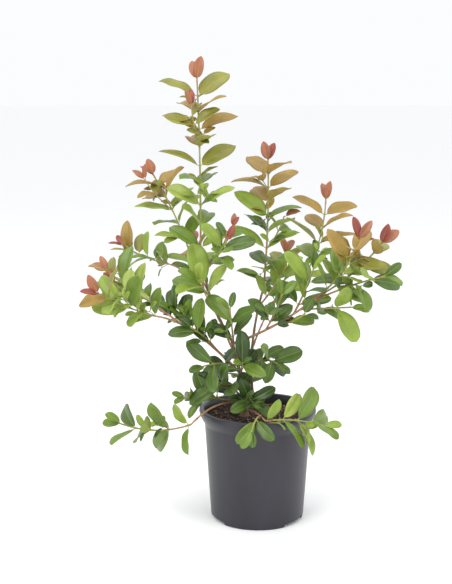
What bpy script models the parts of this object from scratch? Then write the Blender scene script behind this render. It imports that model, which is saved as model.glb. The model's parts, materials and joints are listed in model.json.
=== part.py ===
"""A young guava shrub of many stems, growing in a round black nursery pot.

Metres, +Z up.  The origin is the centre of the pot's underside.  +X runs to the
right of the side the plant shows best from, and +Y runs away from that side.
"""
import math
import random
from collections import namedtuple

import bmesh
import bpy
from mathutils import Matrix, Vector
from mathutils.bvhtree import BVHTree

MM = 0.001
UP = Vector((0.0, 0.0, 1.0))
RIGHT = Vector((1.0, 0.0, 0.0))
GAP = 0.3 * MM

# Pot, millimetres and degrees
RIM_DIAMETER = 190.0
BASE_DIAMETER = 151.0
POT_HEIGHT = 181.0
WALL_FLARE = 0.066
POT_WALL = 1.8
LIP_WIDTH = 7.0
COLLAR_DEPTH = 24.0
FLOOR_UNDERSIDE = 6.0
FLOOR_TOP = 8.0
FOOT_RING = 3.2
HUB_DIAMETER = 36.0
FOOT_COUNT = 3
FRONT_FOOT = -94.0
NOTCH_ARC = 40.0
NOTCH_HEIGHT = 5.0
DRAIN_COUNT = 6
DRAIN_DIAMETER = 9.0
DRAIN_CIRCLE = 104.0
POT_SIDES = 44
# The collar's height, then how far out it has swung, as shares from foot to rim
COLLAR_SWING = ((0.0, 0.0), (0.12, 0.17), (0.42, 0.61), (0.67, 0.91), (0.86, 1.0), (0.97, 0.96),
                (1.0, 0.85))

# Soil, millimetres
SOIL_LEVEL = 165.0
SOIL_BUMP = 1.6
SOIL_RINGS = 3
FLAT_ROUND_FOOT = 16.0

# Trunk, stems and leaves, millimetres and degrees
TRUNK_FOOT = (-21.0, 5.0)
TRUNK_TOP = (-19.0, 3.0, 199.0)
TRUNK_THICK = (10.8, 8.0)
ROOT_FLARE = 1.7
FLARE_HEIGHT = 10.0
STEM_THICK = 3.2
TWIG_THICK = 2.3
SIDE_TWIG_THICK = (2.2, 1.9)
PETIOLE_WIDTH = 1.5
PETIOLE_DEPTH = 1.2
BLADE_WIDTH = 0.44
BLADE_DEPTH = 1.5
LEAF_CURL = 32.0
PAIR_SPREAD = 54.0
LAST_PAIR = 0.62
SPREAD_WIDE = 0.3
LIGHT = Vector((0.1, -0.75, 0.65))
CLEARANCE = 0.7
TRUNK_SIDES = 8
LIMB_SIDES = 6
STEM_SIDES = 5
TWIG_SIDES = 4
RING_SPACING = 36.0
SHARP_ANGLE = 35.0
FLAT_ANGLE = 0.5

# Along a leaf blade from its root: the place, its width and its depth, as shares
BLADE_STATIONS = ((0.36, 0.98, 1.0), (0.72, 0.88, 0.85))

# How a leaf that would touch something is set aside: turned round its stem and
# raised or lowered, in degrees, until it stands free
SET_ASIDE = ((0, 0), (14, 0), (-14, 0), (0, 14), (0, -14), (28, 0), (-28, 0), (28, 14), (-28, 14),
             (14, -22), (-14, -22), (40, 0), (-40, 0))

# A limb leaves its parent part of the way along it and ends at its tip.  Places
# are right, away and up from the origin; bow is how far its middle swings off
# the straight line; thick is the diameter at its start and at its tip.
Limb = namedtuple("Limb", "name parent at tip bow thick")

LIMBS = (
    Limb("main", "trunk", 1.0, (-42, 0, 292), (0, 0, 0), (6.6, 5.0)),
    Limb("centre_foot", "trunk", 0.42, (-9, 1, 212), (3, 0, -3), (5.8, 5.2)),
    Limb("centre", "centre_foot", 1.0, (9, 56, 370), (-8, -12, 0), (5.0, 3.2)),
    Limb("leader", "main", 1.0, (-93, 18, 432), (-8, 0, -3), (4.6, 3.2)),
    Limb("left", "main", 0.42, (-116, -28, 321), (-5, 0, 10), (4.8, 3.4)),
    Limb("right", "main", 0.95, (99, -75, 386), (4, 0, -7), (4.4, 3.0)),
    Limb("right_rear", "centre", 0.74, (73, 90, 374), (0, 0, 2), (3.0, 2.6)),
    Limb("upper_left", "leader", 0.58, (-118, 54, 444), (0, 0, -6), (2.9, 2.5)),
    Limb("left_high", "leader", 0.50, (-150, 98, 402), (0, 6, 8), (2.8, 2.4)),
    Limb("left_rear", "left", 1.0, (-170, -10, 356), (0, 0, 0), (3.2, 2.6)),
    Limb("left_front", "left", 0.82, (-158, -66, 345), (0, 0, 4), (3.0, 2.5)),
    Limb("low_left", "trunk", 0.50, (-104, -74, 174), (0, 0, 17), (3.6, 2.8)),
    Limb("low_right", "trunk", 0.30, (12, -92, 186), (0, 0, 5), (3.4, 2.6)),
    Limb("back", "centre", 0.40, (28, 132, 330), (0, 0, 8), (3.2, 2.6)),
    Limb("back_left", "main", 0.62, (-88, 92, 350), (0, 0, 6), (3.2, 2.6)),
)

# A shoot is one mass of leaves on one stem.  first is where along the stem its
# leaf pairs begin, leaf is their length, turn is the heading of the first pair
# round the stem, lift is how far leaves reach up, flush is the share of the stem
# that is young and red, tone is its green from dark to light, and twigs are the
# axils that bear a side twig, a minus for the far side.
Shoot = namedtuple("Shoot", "name parent at tip bow pairs first leaf turn lift flush tone twigs seed")

SHOOTS = (
    Shoot("leader", "leader", 1.0, (-98, 25, 709), (2, 0, 0), 10, 0.03, 72, 10, 0.0, 0.5, 3, (-5,), 1),
    Shoot("upper_left", "upper_left", 1.0, (-174, 90, 552), (2, 0, 2), 6, 0.04, 64, 30, 0.1, 0.55, 3, (2,), 2),
    Shoot("left_high", "left_high", 1.0, (-234, 150, 426), (0, 0, -4), 6, 0.02, 52, 90, 0.7, 0.4, 2, (), 3),
    Shoot("left_rear", "left_rear", 1.0, (-242, 4, 404), (0, 0, -3), 6, 0.02, 60, 80, 0.5, 0.35, 3, (1,), 4),
    Shoot("left_front", "left_front", 1.0, (-240, -112, 388), (0, 0, -3), 6, 0.02, 62, 10, 0.35, 0.35, 3, (1,), 5),
    Shoot("left_middle", "left", 0.78, (-150, 14, 345), (0, 0, 4), 5, 0.2, 56, 90, 0.9, 0.0, 1, (), 6),
    Shoot("left_inner", "left", 0.35, (-104, -44, 322), (0, 0, 4), 4, 0.3, 54, 40, 0.7, 0.0, 1, (), 7),
    Shoot("left_low", "main", 0.55, (-84, -48, 262), (0, 0, 4), 3, 0.4, 56, 40, 0.0, 0.0, 1, (), 21),
    Shoot("centre_left", "leader", 0.5, (-95, -36, 396), (0, 0, 0), 3, 0.3, 72, 0, 0.5, 0.0, 3, (), 22),
    Shoot("centre_front", "leader", 0.8, (-48, -44, 462), (0, 0, -4), 4, 0.3, 52, 0, 0.4, 0.1, 2, (1,), 8),
    Shoot("centre_top", "centre", 1.0, (15, 76, 578), (3, 0, 0), 9, 0.03, 70, 20, 0.0, 0.45, 2, (-2,), 9),
    Shoot("centre_right", "centre", 0.82, (44, 20, 410), (0, 0, -4), 4, 0.3, 62, 30, 0.3, 0.0, 2, (), 23),
    Shoot("centre_low", "centre", 0.3, (30, -28, 262), (0, 0, 4), 4, 0.4, 52, 30, 0.1, 0.0, 1, (), 24),
    Shoot("main_front", "main", 0.35, (-24, -52, 268), (0, 0, 4), 3, 0.35, 54, 30, 0.3, 0.0, 1, (), 25),
    Shoot("main_high", "main", 0.8, (-44, -46, 352), (0, 0, 0), 3, 0.35, 60, 30, 0.4, 0.0, 1, (), 26),
    Shoot("right_rear", "right_rear", 1.0, (113, 121, 508), (8, 0, -3), 6, 0.08, 66, 15, 0.0, 0.6, 3, (), 10),
    Shoot("right_top", "right", 1.0, (150, -98, 470), (6, 0, -4), 5, 0.08, 64, 0, 0.1, 0.5, 3, (1,), 11),
    Shoot("right_tip", "right", 0.93, (186, -80, 462), (6, 0, -4), 5, 0.25, 62, 0, 0.1, 0.5, 3, (), 12),
    Shoot("right_outer", "right", 0.84, (186, -122, 418), (0, 0, 4), 4, 0.4, 62, 0, 0.0, 0.0, 2, (), 13),
    Shoot("right_low", "right", 0.74, (140, -104, 368), (0, 0, 0), 3, 0.4, 58, 0, -0.1, 0.0, 2, (), 32),
    Shoot("right_mid", "right", 0.66, (84, -52, 415), (0, 0, -4), 4, 0.25, 64, 0, 0.2, 0.0, 2, (), 14),
    Shoot("right_inner", "right", 0.35, (36, -66, 378), (0, 0, -4), 3, 0.3, 62, 0, 0.3, 0.0, 1, (), 15),
    Shoot("right_under", "right", 0.48, (70, -82, 352), (0, 0, -4), 2, 0.4, 58, 20, 0.0, 0.0, 1, (), 16),
    Shoot("low_left", "low_left", 1.0, (-212, -94, 180), (0, 0, -10), 5, 0.03, 62, 0, 0.1, 0.1, 2, (), 17),
    Shoot("low_left_top", "trunk", 0.6, (-116, -22, 203), (0, 0, 4), 4, 0.45, 46, 0, 0.3, 0.0, 2, (), 18),
    Shoot("low_right", "low_right", 1.0, (102, -96, 180), (0, 0, 5), 5, 0.02, 58, 0, 0.2, 0.1, 3, (), 19),
    Shoot("low_front", "low_right", 0.82, (-8, -112, 178), (0, 0, 8), 2, 0.6, 60, 40, -0.6, 0.0, 2, (), 33),
    Shoot("foot_left", "trunk", 0.85, (-68, -40, 236), (0, 0, 4), 4, 0.3, 62, 30, 0.2, 0.0, 0, (), 27),
    Shoot("foot_front", "trunk", 0.65, (-8, -48, 204), (0, 0, 4), 4, 0.3, 48, 30, 0.2, 0.0, 0, (), 28),
    Shoot("back", "back", 1.0, (46, 178, 410), (0, 0, -4), 5, 0.05, 62, 30, 0.2, 0.3, 2, (1,), 29),
    Shoot("back_left", "back_left", 1.0, (-112, 140, 432), (0, 0, -4), 5, 0.05, 62, 30, 0.2, 0.3, 2, (1,), 30),
    Shoot("back_low", "trunk", 0.8, (-14, 92, 240), (0, 0, 4), 4, 0.3, 56, 30, 0.2, 0.0, 1, (), 31),
)

TONES = ((0.045, 0.10, 0.03), (0.07, 0.16, 0.035), (0.12, 0.24, 0.045), (0.25, 0.36, 0.08))
YOUNG_RED = (0.42, 0.13, 0.07)
BARK = (0.20, 0.095, 0.055)
BLACK_PLASTIC = (0.028, 0.028, 0.033)
SOIL_BROWN = (0.035, 0.02, 0.013)

Stem = namedtuple("Stem", "place heading lead start_radius tip_radius")
Leaf = namedtuple("Leaf", "root along face length width curl")
Shape = namedtuple("Shape", "tree low high")


def main():
    clear_scene()
    plant = grow()
    make_pot()
    make_soil()
    make_trunk(plant["limbs"])
    for limb in LIMBS:
        make_limb(limb, plant["limbs"])
    for shoot in SHOOTS:
        make_foliage(shoot, plant)


def clear_scene():
    for thing in list(bpy.data.objects):
        bpy.data.objects.remove(thing, do_unlink=True)


# Growing rules


def path(start, tip, bow):
    """A smooth run from start to tip whose middle is swung aside by bow."""
    control = (start + tip) * 0.5 + bow * 2.0

    def place(t):
        return start * (1 - t) ** 2 + control * (2 * t * (1 - t)) + tip * t * t

    def heading(t):
        return ((control - start) * (1 - t) + (tip - control) * t).normalized()

    return place, heading


def radius_at(stem, t):
    return stem.start_radius + (stem.tip_radius - stem.start_radius) * t


def square_to(direction, axis):
    """The part of direction that is square to axis, as a unit vector."""
    side = direction - axis * direction.dot(axis)
    if side.length < 1e-6:
        side = axis.orthogonal()
    return side.normalized()


def grown_from(parent, at, tip, bow, thick):
    """A stem from part of the way along its parent, or end to end with it at 1."""
    start = parent.place(at)
    if at == 1.0:
        start = start + parent.heading(1.0) * GAP
    place, heading = path(start, Vector(tip) * MM, Vector(bow) * MM)
    lead = parent.heading(1.0) if at == 1.0 else heading(0.0)
    return Stem(place, heading, lead, 0.5 * thick[0] * MM, 0.5 * thick[1] * MM)


def grow_limbs():
    foot = Vector((TRUNK_FOOT[0], TRUNK_FOOT[1], SOIL_LEVEL)) * MM + UP * GAP
    place, heading = path(foot, Vector(TRUNK_TOP) * MM, Vector())
    radii = [0.5 * width * MM for width in TRUNK_THICK]
    limbs = {"trunk": Stem(place, heading, UP, *radii)}
    for limb in LIMBS:
        limbs[limb.name] = grown_from(limbs[limb.parent], limb.at, limb.tip, limb.bow, limb.thick)
    return limbs


def shoot_stem(shoot, limbs):
    parent = limbs[shoot.parent]
    thick = min(2.0 * radius_at(parent, shoot.at) / MM, STEM_THICK)
    return grown_from(parent, shoot.at, shoot.tip, shoot.bow, (thick, TWIG_THICK))


def pair_places(count, first):
    """How high up the shoot each leaf pair is, and where along its stem it stands."""
    places = []
    for k in range(count):
        u = k / (count - 1)
        places.append((u, first + (0.985 - first) * u * (1.2 - 0.2 * u)))
    return places


def leaf_size(u):
    """Leaves are longest a little above the middle, and the last pair is half grown."""
    size = 1.0 - 0.16 * (2.0 * u - 1.1) ** 2
    return size * LAST_PAIR if u == 1.0 else size


def sideways(stem, t, degrees):
    """The heading off the stem at so many degrees round it, drawn out to the sides."""
    axis = stem.heading(t)
    side = Matrix.Rotation(math.radians(degrees), 3, axis) @ square_to(RIGHT, axis)
    wide = math.copysign(SPREAD_WIDE, side.dot(RIGHT))
    return square_to(side + RIGHT * wide, axis)


def make_leaf(stem, t, side, u, shoot, rng):
    """One leaf of a pair, standing off the stem towards side and bending back."""
    axis = stem.heading(t)
    opening = PAIR_SPREAD * (1.0 if u < 1.0 else 0.35)
    spread = math.radians(opening + rng.uniform(-7, 7))
    along = axis * math.cos(spread) + side * math.sin(spread)
    along = (along + UP * shoot.lift * (1.0 - 0.5 * u)).normalized()
    face = square_to(axis * 0.8 + LIGHT, along)
    face = Matrix.Rotation(math.radians(rng.uniform(-24, 24)), 3, along) @ face
    length = shoot.leaf * MM * leaf_size(u) * rng.uniform(0.9, 1.08)
    width = length * BLADE_WIDTH * rng.uniform(0.88, 1.12)
    curl = math.radians(LEAF_CURL * rng.uniform(0.6, 1.3))
    return Leaf(stem.place(t), along, face, length, width, curl)


def grow_pairs(stem, count, first, turn, shoot, rng, scale=1.0):
    """Opposite pairs of leaves, each pair a quarter turn round from the last."""
    leaves = []
    for k, (u, t) in enumerate(pair_places(count, first)):
        side = sideways(stem, t, turn + 90.0 * k + rng.uniform(-12, 12))
        for sense in (1.0, -1.0):
            leaf = make_leaf(stem, t, side * sense, u, shoot, rng)
            leaves.append(leaf._replace(length=leaf.length * scale, width=leaf.width * scale))
    return leaves


def grow_twigs(stem, shoot, rng):
    """Short side twigs out of the axils that the shoot names."""
    twigs = []
    for axil in shoot.twigs:
        t = pair_places(shoot.pairs, shoot.first)[abs(axil)][1]
        far_side = 180.0 if axil < 0 else 0.0
        side = sideways(stem, t, shoot.turn + 90.0 * abs(axil) + far_side + rng.uniform(-15, 15))
        aim = (stem.heading(t) * 0.85 + side * 0.55 + UP * 0.25).normalized()
        length = shoot.leaf * MM * rng.uniform(0.75, 1.05)
        start = stem.place(t)
        place, heading = path(start, start + aim * length, side * length * 0.06)
        radii = [0.5 * width * MM for width in SIDE_TWIG_THICK]
        twigs.append(Stem(place, heading, heading(0.0), *radii))
    return twigs


def shape_of(points, faces):
    low = [min(point[axis] for point in points) for axis in range(3)]
    high = [max(point[axis] for point in points) for axis in range(3)]
    return Shape(BVHTree.FromPolygons(points, faces), low, high)


def meets(one, other):
    for axis in range(3):
        if one.low[axis] > other.high[axis] or other.low[axis] > one.high[axis]:
            return False
    return bool(one.tree.overlap(other.tree))


def set_aside(leaf, axis, turn, rise):
    """The same leaf turned round its stem and raised towards it, in degrees."""
    spin = Matrix.Rotation(math.radians(turn), 3, axis)
    along = spin @ leaf.along
    face = spin @ leaf.face
    tip_up = Matrix.Rotation(math.radians(rise), 3, along.cross(face))
    return leaf._replace(along=tip_up @ along, face=tip_up @ face)


def free_leaf(leaf, axis, others, own_blades):
    """The leaf, set aside as far as it takes to stand free, or None."""
    for turn, rise in SET_ASIDE:
        trial = set_aside(leaf, axis, turn, rise)
        whole = shape_of(*leaf_mesh(trial, CLEARANCE * MM))
        if any(meets(whole, other) for other in others):
            continue
        blade = shape_of(*leaf_mesh(trial, CLEARANCE * MM, 0.3))
        if any(meets(blade, other) for other in own_blades):
            continue
        own_blades.append(blade)
        return trial, whole
    return None


def grow():
    """Works out every limb, stem, twig and leaf of the plant, each kept to its space."""
    limbs = grow_limbs()
    stems = {shoot.name: shoot_stem(shoot, limbs) for shoot in SHOOTS}
    wood = {"": [shape_of(*tube_mesh(limb, 6, 8, CLEARANCE * MM)) for limb in limbs.values()]}
    wood[""].append(shape_of(*turned_mesh(keep_out_profile(), 24)))
    twigs = {}
    seeds = {shoot.name: random.Random(shoot.seed) for shoot in SHOOTS}
    for shoot in SHOOTS:
        stem = stems[shoot.name]
        twigs[shoot.name] = grow_twigs(stem, shoot, seeds[shoot.name])
        wood[shoot.name] = [shape_of(*tube_mesh(run, 5, 6)) for run in [stem] + twigs[shoot.name]]
    leaves = {}
    grown = {}
    for shoot in SHOOTS:
        others = [shape for name in wood for shape in wood[name] if name != shoot.name]
        others += [shape for shapes in grown.values() for shape in shapes]
        leaves[shoot.name], grown[shoot.name] = grow_leaves(shoot, stems, twigs, others, seeds)
    return {"limbs": limbs, "stems": stems, "twigs": twigs, "leaves": leaves}


def grow_leaves(shoot, stems, twigs, others, seeds):
    """The leaves of one shoot, less any that find no free place."""
    stem = stems[shoot.name]
    rng = seeds[shoot.name]
    wanted = grow_pairs(stem, shoot.pairs, shoot.first, shoot.turn, shoot, rng)
    axes = [stem.heading(0.5)] * len(wanted)
    for twig in twigs[shoot.name]:
        more = grow_pairs(twig, 2, 0.55, rng.uniform(0, 90), shoot, rng, 0.8)
        wanted += more
        axes += [twig.heading(0.5)] * len(more)
    kept = []
    shapes = []
    blades = []
    for leaf, axis in zip(wanted, axes):
        found = free_leaf(leaf, axis, others, blades)
        if found:
            kept.append(found[0])
            shapes.append(found[1])
    return kept, shapes


# Plain shapes, as points and faces


def tube_mesh(stem, sides, runs, extra=0.0, flare=None):
    """A tapering round stem, its first ring square to the way its parent runs."""
    points = []
    reference = square_to(RIGHT, stem.lead)
    for k in range(runs + 1):
        t = k / runs
        axis = stem.lead if k == 0 else stem.heading(t)
        reference = square_to(reference, axis)
        across = axis.cross(reference)
        radius = radius_at(stem, t) + extra
        centre = stem.place(t)
        if flare:
            radius *= flare(centre)
        for j in range(sides):
            angle = 2.0 * math.pi * j / sides
            points.append(centre + (reference * math.cos(angle) + across * math.sin(angle)) * radius)
    faces = [tuple(reversed(range(sides)))]
    for k in range(runs):
        for j in range(sides):
            here = k * sides
            there = here + sides
            following = (j + 1) % sides
            faces.append((here + j, here + following, there + following, there + j))
    faces.append(tuple(range(runs * sides, (runs + 1) * sides)))
    return points, faces


def leaf_mesh(leaf, extra=0.0, root_at=0.0):
    """A keeled, bent-back blade on its stalk: rings of two edges and a keel, then a tip."""
    across = leaf.along.cross(leaf.face)
    stations = [(root_at, PETIOLE_WIDTH * MM / leaf.width, PETIOLE_DEPTH / BLADE_DEPTH)]
    stations += BLADE_STATIONS
    points = []
    for share, wide, deep in stations:
        centre, rise = leaf_midrib(leaf, share)
        edge = across * (0.5 * leaf.width * wide + extra)
        top = rise * (0.4 * BLADE_DEPTH * MM * deep + extra)
        keel = rise * (0.6 * BLADE_DEPTH * MM * deep + extra)
        points += [centre + edge + top, centre - edge + top, centre - keel]
    points.append(leaf_midrib(leaf, 1.0)[0] + leaf.along * extra)
    faces = [(0, 1, 2)]
    for ring in range(len(stations) - 1):
        for j in range(3):
            a = 3 * ring + j
            b = 3 * ring + (j + 1) % 3
            faces += [(a, a + 3, b), (b, a + 3, b + 3)]
    last = 3 * (len(stations) - 1)
    tip = len(points) - 1
    faces += [(last + j, tip, last + (j + 1) % 3) for j in range(3)]
    return points, faces


def leaf_midrib(leaf, share):
    """A place along the leaf's bent-back midrib and the way its upper face looks there."""
    angle = leaf.curl * share
    reach = leaf.along * math.sin(angle) - leaf.face * (1.0 - math.cos(angle))
    rise = leaf.face * math.cos(angle) + leaf.along * math.sin(angle)
    return leaf.root + reach * (leaf.length / leaf.curl), rise


def turned_mesh(profile, sides):
    """A solid of revolution; the profile's first and last points lie on the axis."""
    points = [Vector((0.0, 0.0, profile[0][1])) * MM]
    for radius, height in profile[1:-1]:
        for j in range(sides):
            angle = 2.0 * math.pi * j / sides
            points.append(Vector((radius * math.cos(angle), radius * math.sin(angle), height)) * MM)
    points.append(Vector((0.0, 0.0, profile[-1][1])) * MM)
    rings = len(profile) - 2
    last = len(points) - 1
    faces = []
    for j in range(sides):
        following = (j + 1) % sides
        faces.append((0, 1 + following, 1 + j))
        for ring in range(rings - 1):
            here = 1 + ring * sides
            there = here + sides
            faces.append((here + j, here + following, there + following, there + j))
        here = 1 + (rings - 1) * sides
        faces.append((here + j, here + following, last))
    return points, faces


# Bodies


def add_body(name, points, faces, colour=None, roughness=0.5):
    """A closed object from points and faces, facing out, with its own material."""
    mesh = bpy.data.meshes.new(name)
    mesh.from_pydata(points, [], faces)
    work = bmesh.new()
    work.from_mesh(mesh)
    bmesh.ops.triangulate(work, faces=work.faces)
    bmesh.ops.recalc_face_normals(work, faces=work.faces)
    work.to_mesh(mesh)
    work.free()
    body = bpy.data.objects.new(name, mesh)
    bpy.context.scene.collection.objects.link(body)
    if colour:
        mesh.materials.append(plain_material(name, colour, roughness))
    return body


def plain_material(name, colour, roughness):
    material = bpy.data.materials.new(name)
    material.use_nodes = True
    surface = material.node_tree.nodes["Principled BSDF"]
    surface.inputs["Base Color"].default_value = (*colour, 1.0)
    surface.inputs["Roughness"].default_value = roughness
    return material


def apply_modifiers(body):
    """Makes the shape that the modifiers give into the body's own mesh."""
    graph = bpy.context.evaluated_depsgraph_get()
    mesh = bpy.data.meshes.new_from_object(body.evaluated_get(graph))
    body.modifiers.clear()
    body.data = mesh


def join_parts(body, parts, solver):
    """Joins overlapping parts to the body, which then stands without them."""
    group = bpy.data.collections.new(body.name + "_parts")
    for part in parts:
        group.objects.link(part)
    union = body.modifiers.new("join", "BOOLEAN")
    union.operation = "UNION"
    union.operand_type = "COLLECTION"
    union.collection = group
    union.solver = solver
    apply_modifiers(body)
    for part in parts:
        bpy.data.objects.remove(part, do_unlink=True)
    bpy.data.collections.remove(group)


def cut_away(body, cutters):
    """Takes the cutters' shapes out of the body."""
    for cutter in cutters:
        cutter.hide_render = True
        cutter.display_type = "WIRE"
        cut = body.modifiers.new("cut", "BOOLEAN")
        cut.operation = "DIFFERENCE"
        cut.solver = "EXACT"
        cut.object = cutter
        apply_modifiers(body)
        bpy.data.objects.remove(cutter, do_unlink=True)


def merge_flat_faces(work):
    """Puts back together the flat faces that a cut has split."""
    bmesh.ops.dissolve_limit(work, angle_limit=math.radians(FLAT_ANGLE), verts=work.verts, edges=work.edges)
    bmesh.ops.triangulate(work, faces=work.faces)


def keep_largest_shell(body):
    """Drops loose scrap and sealed hollows, and says whether what is left is closed."""
    work = bmesh.new()
    work.from_mesh(body.data)
    unseen = set(work.verts)
    shells = []
    while unseen:
        front = [unseen.pop()]
        shell = list(front)
        while front:
            found = {edge.other_vert(vert) for vert in front for edge in vert.link_edges} & unseen
            unseen -= found
            front = list(found)
            shell += front
        shells.append(shell)
    shells.sort(key=len)
    for shell in shells[:-1]:
        bmesh.ops.delete(work, geom=shell, context="VERTS")
    merge_flat_faces(work)
    closed = all(edge.is_manifold for edge in work.edges)
    work.to_mesh(body.data)
    work.free()
    return closed


def round_off(body):
    """Smooth shading on curved faces, with the sharp edges kept."""
    body.data.shade_smooth()
    body.data.set_sharp_from_angle(angle=math.radians(SHARP_ANGLE))


# Pot and soil


def wall_radius(height):
    """Outside radius of the straight wall, millimetres."""
    return 0.5 * BASE_DIAMETER + WALL_FLARE * height


def collar_corners():
    """The wall swinging out to the rim, from the collar's foot to the top edge."""
    foot = POT_HEIGHT - COLLAR_DEPTH
    start = wall_radius(foot)
    step = 0.5 * RIM_DIAMETER - start
    return [(start + step * out, foot + COLLAR_DEPTH * up) for up, out in COLLAR_SWING]


def pot_profile():
    """Half section of the pot from the hub underneath, up the outside and down the inside."""
    base = 0.5 * BASE_DIAMETER
    hub = 0.5 * HUB_DIAMETER
    lip = 0.5 * RIM_DIAMETER - LIP_WIDTH
    inside = base - POT_WALL
    under = [(0.0, 0.0), (hub - 0.8, 0.0), (hub, 0.8), (hub + 0.6, FLOOR_UNDERSIDE)]
    foot = [(base - FOOT_RING - 1.2, FLOOR_UNDERSIDE), (base - FOOT_RING, 0.8),
            (base - FOOT_RING + 0.7, 0.0), (base - 0.9, 0.0), (base, 1.4)]
    rim = [(lip, POT_HEIGHT), (lip - 1.2, POT_HEIGHT - 2.0)]
    bore = [(wall_radius(POT_HEIGHT - 9.0) - POT_WALL, POT_HEIGHT - 9.0),
            (inside + WALL_FLARE * FLOOR_TOP, FLOOR_TOP), (0.0, FLOOR_TOP)]
    return under + foot + collar_corners() + rim + bore


def keep_out_profile():
    """The room that the pot and the soil take up, with a little to spare, as a half section."""
    rim = 0.5 * RIM_DIAMETER
    mouth = rim - LIP_WIDTH - 2.0
    return [(0.0, -1.0), (0.5 * BASE_DIAMETER + 1.0, -1.0),
            (wall_radius(POT_HEIGHT - COLLAR_DEPTH) + 1.0, POT_HEIGHT - COLLAR_DEPTH),
            (rim + 1.0, POT_HEIGHT - 0.4 * COLLAR_DEPTH), (rim + 1.0, POT_HEIGHT + 1.0),
            (mouth, POT_HEIGHT + 1.0), (mouth, SOIL_LEVEL + SOIL_BUMP + 1.0),
            (0.0, SOIL_LEVEL + SOIL_BUMP + 1.0)]


def notch_cutter(heading):
    """A wedge from outside the foot ring to inside it, low under the pot."""
    inner = 0.5 * BASE_DIAMETER - FOOT_RING - 6.0
    outer = 0.5 * BASE_DIAMETER + 6.0
    points = []
    steps = 6
    for height in (-2.0, NOTCH_HEIGHT):
        for radius in (inner, outer):
            for k in range(steps + 1):
                angle = math.radians(heading + NOTCH_ARC * (k / steps - 0.5))
                points.append(Vector((radius * math.cos(angle), radius * math.sin(angle), height)) * MM)
    row = steps + 1
    faces = []
    for k in range(steps):
        faces.append((k, k + 1, row + k + 1, row + k))
        faces.append((2 * row + k, 3 * row + k, 3 * row + k + 1, 2 * row + k + 1))
        faces.append((k, 2 * row + k, 2 * row + k + 1, k + 1))
        faces.append((row + k, row + k + 1, 3 * row + k + 1, 3 * row + k))
    faces.append((0, row, 3 * row, 2 * row))
    faces.append((steps, 2 * row + steps, 3 * row + steps, row + steps))
    return add_body("notch", points, faces)


def drain_cutter(heading):
    angle = math.radians(heading)
    centre = Vector((math.cos(angle), math.sin(angle), 0.0)) * (0.5 * DRAIN_CIRCLE * MM)
    place, along = path(centre - UP * 2 * MM, centre + UP * 2 * FLOOR_TOP * MM, Vector())
    radius = 0.5 * DRAIN_DIAMETER * MM
    return add_body("drain", *tube_mesh(Stem(place, along, UP, radius, radius), 16, 1))


def make_pot():
    pot = add_body("pot", *turned_mesh(pot_profile(), POT_SIDES), BLACK_PLASTIC, 0.45)
    between = 360.0 / FOOT_COUNT
    cutters = [notch_cutter(FRONT_FOOT + between * (k + 0.5)) for k in range(FOOT_COUNT)]
    cutters += [drain_cutter(FRONT_FOOT + 360.0 * k / DRAIN_COUNT) for k in range(DRAIN_COUNT)]
    cut_away(pot, cutters)
    round_off(pot)


def soil_height(x, y):
    """Gently uneven ground, level round the foot of the trunk, millimetres."""
    away = math.hypot(x - TRUNK_FOOT[0], y - TRUNK_FOOT[1])
    swell = math.sin(0.09 * x + 1.1) * math.cos(0.11 * y - 0.4) + 0.6 * math.sin(0.17 * x - 0.14 * y)
    rise = min(1.0, max(0.0, away / FLAT_ROUND_FOOT - 1.0))
    return SOIL_LEVEL + SOIL_BUMP * rise * swell / 1.6


def make_soil():
    """Fills the pot to the soil's level, clear of the wall and the floor."""
    floor = FLOOR_TOP + GAP / MM
    clear = POT_WALL + GAP / MM
    rings = [(wall_radius(floor) - clear, floor), (wall_radius(SOIL_LEVEL) - clear - 0.2, None)]
    rings += [(rings[1][0] * (1.0 - (k + 1) / (SOIL_RINGS + 1)), None) for k in range(SOIL_RINGS)]
    profile = [(0.0, floor)] + [(radius, height or 0.0) for radius, height in rings] + [(0.0, 0.0)]
    points, faces = turned_mesh(profile, POT_SIDES)
    for point in points[1 + POT_SIDES:]:
        point.z = soil_height(point.x / MM, point.y / MM) * MM
    round_off(add_body("soil", points, faces, SOIL_BROWN, 0.95))


# Plant


def flare(place):
    """How much the trunk widens towards the soil."""
    above = place.z / MM - SOIL_LEVEL
    return 1.0 + (ROOT_FLARE - 1.0) * max(0.0, 1.0 - above / FLARE_HEIGHT) ** 2


def limb_tube(name, limbs, extra=0.0):
    """The outside of a limb, or the room round it when there is an extra."""
    limb = limbs[name]
    if name == "trunk":
        return tube_mesh(limb, TRUNK_SIDES, 5, extra, flare)
    runs = max(2, round((limb.place(1.0) - limb.place(0.0)).length / (RING_SPACING * MM)))
    return tube_mesh(limb, LIMB_SIDES, runs, extra)


def room_cutter(name, limbs):
    """The limb with a hair's gap all round, to cut a neighbour clear of it."""
    sides = TRUNK_SIDES if name == "trunk" else LIMB_SIDES
    return add_body("room", *limb_tube(name, limbs, GAP / math.cos(math.pi / sides)))


def make_trunk(limbs):
    round_off(add_body("trunk", *limb_tube("trunk", limbs), BARK, 0.8))


def make_limb(limb, limbs):
    body = add_body("bough_" + limb.name, *limb_tube(limb.name, limbs), BARK, 0.75)
    if limb.at < 1.0:
        cut_away(body, [room_cutter(limb.parent, limbs)])
        keep_largest_shell(body)
    round_off(body)


def foliage_colour(shoot):
    """The mass's own green, warmed where its tip is young and red."""
    green = TONES[shoot.tone]
    return tuple(g + (r - g) * 0.5 * shoot.flush for g, r in zip(green, YOUNG_RED))


def stem_tube(stem, sides):
    runs = max(2, round((stem.place(1.0) - stem.place(0.0)).length / (RING_SPACING * MM)))
    return tube_mesh(stem, sides, runs)


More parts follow.
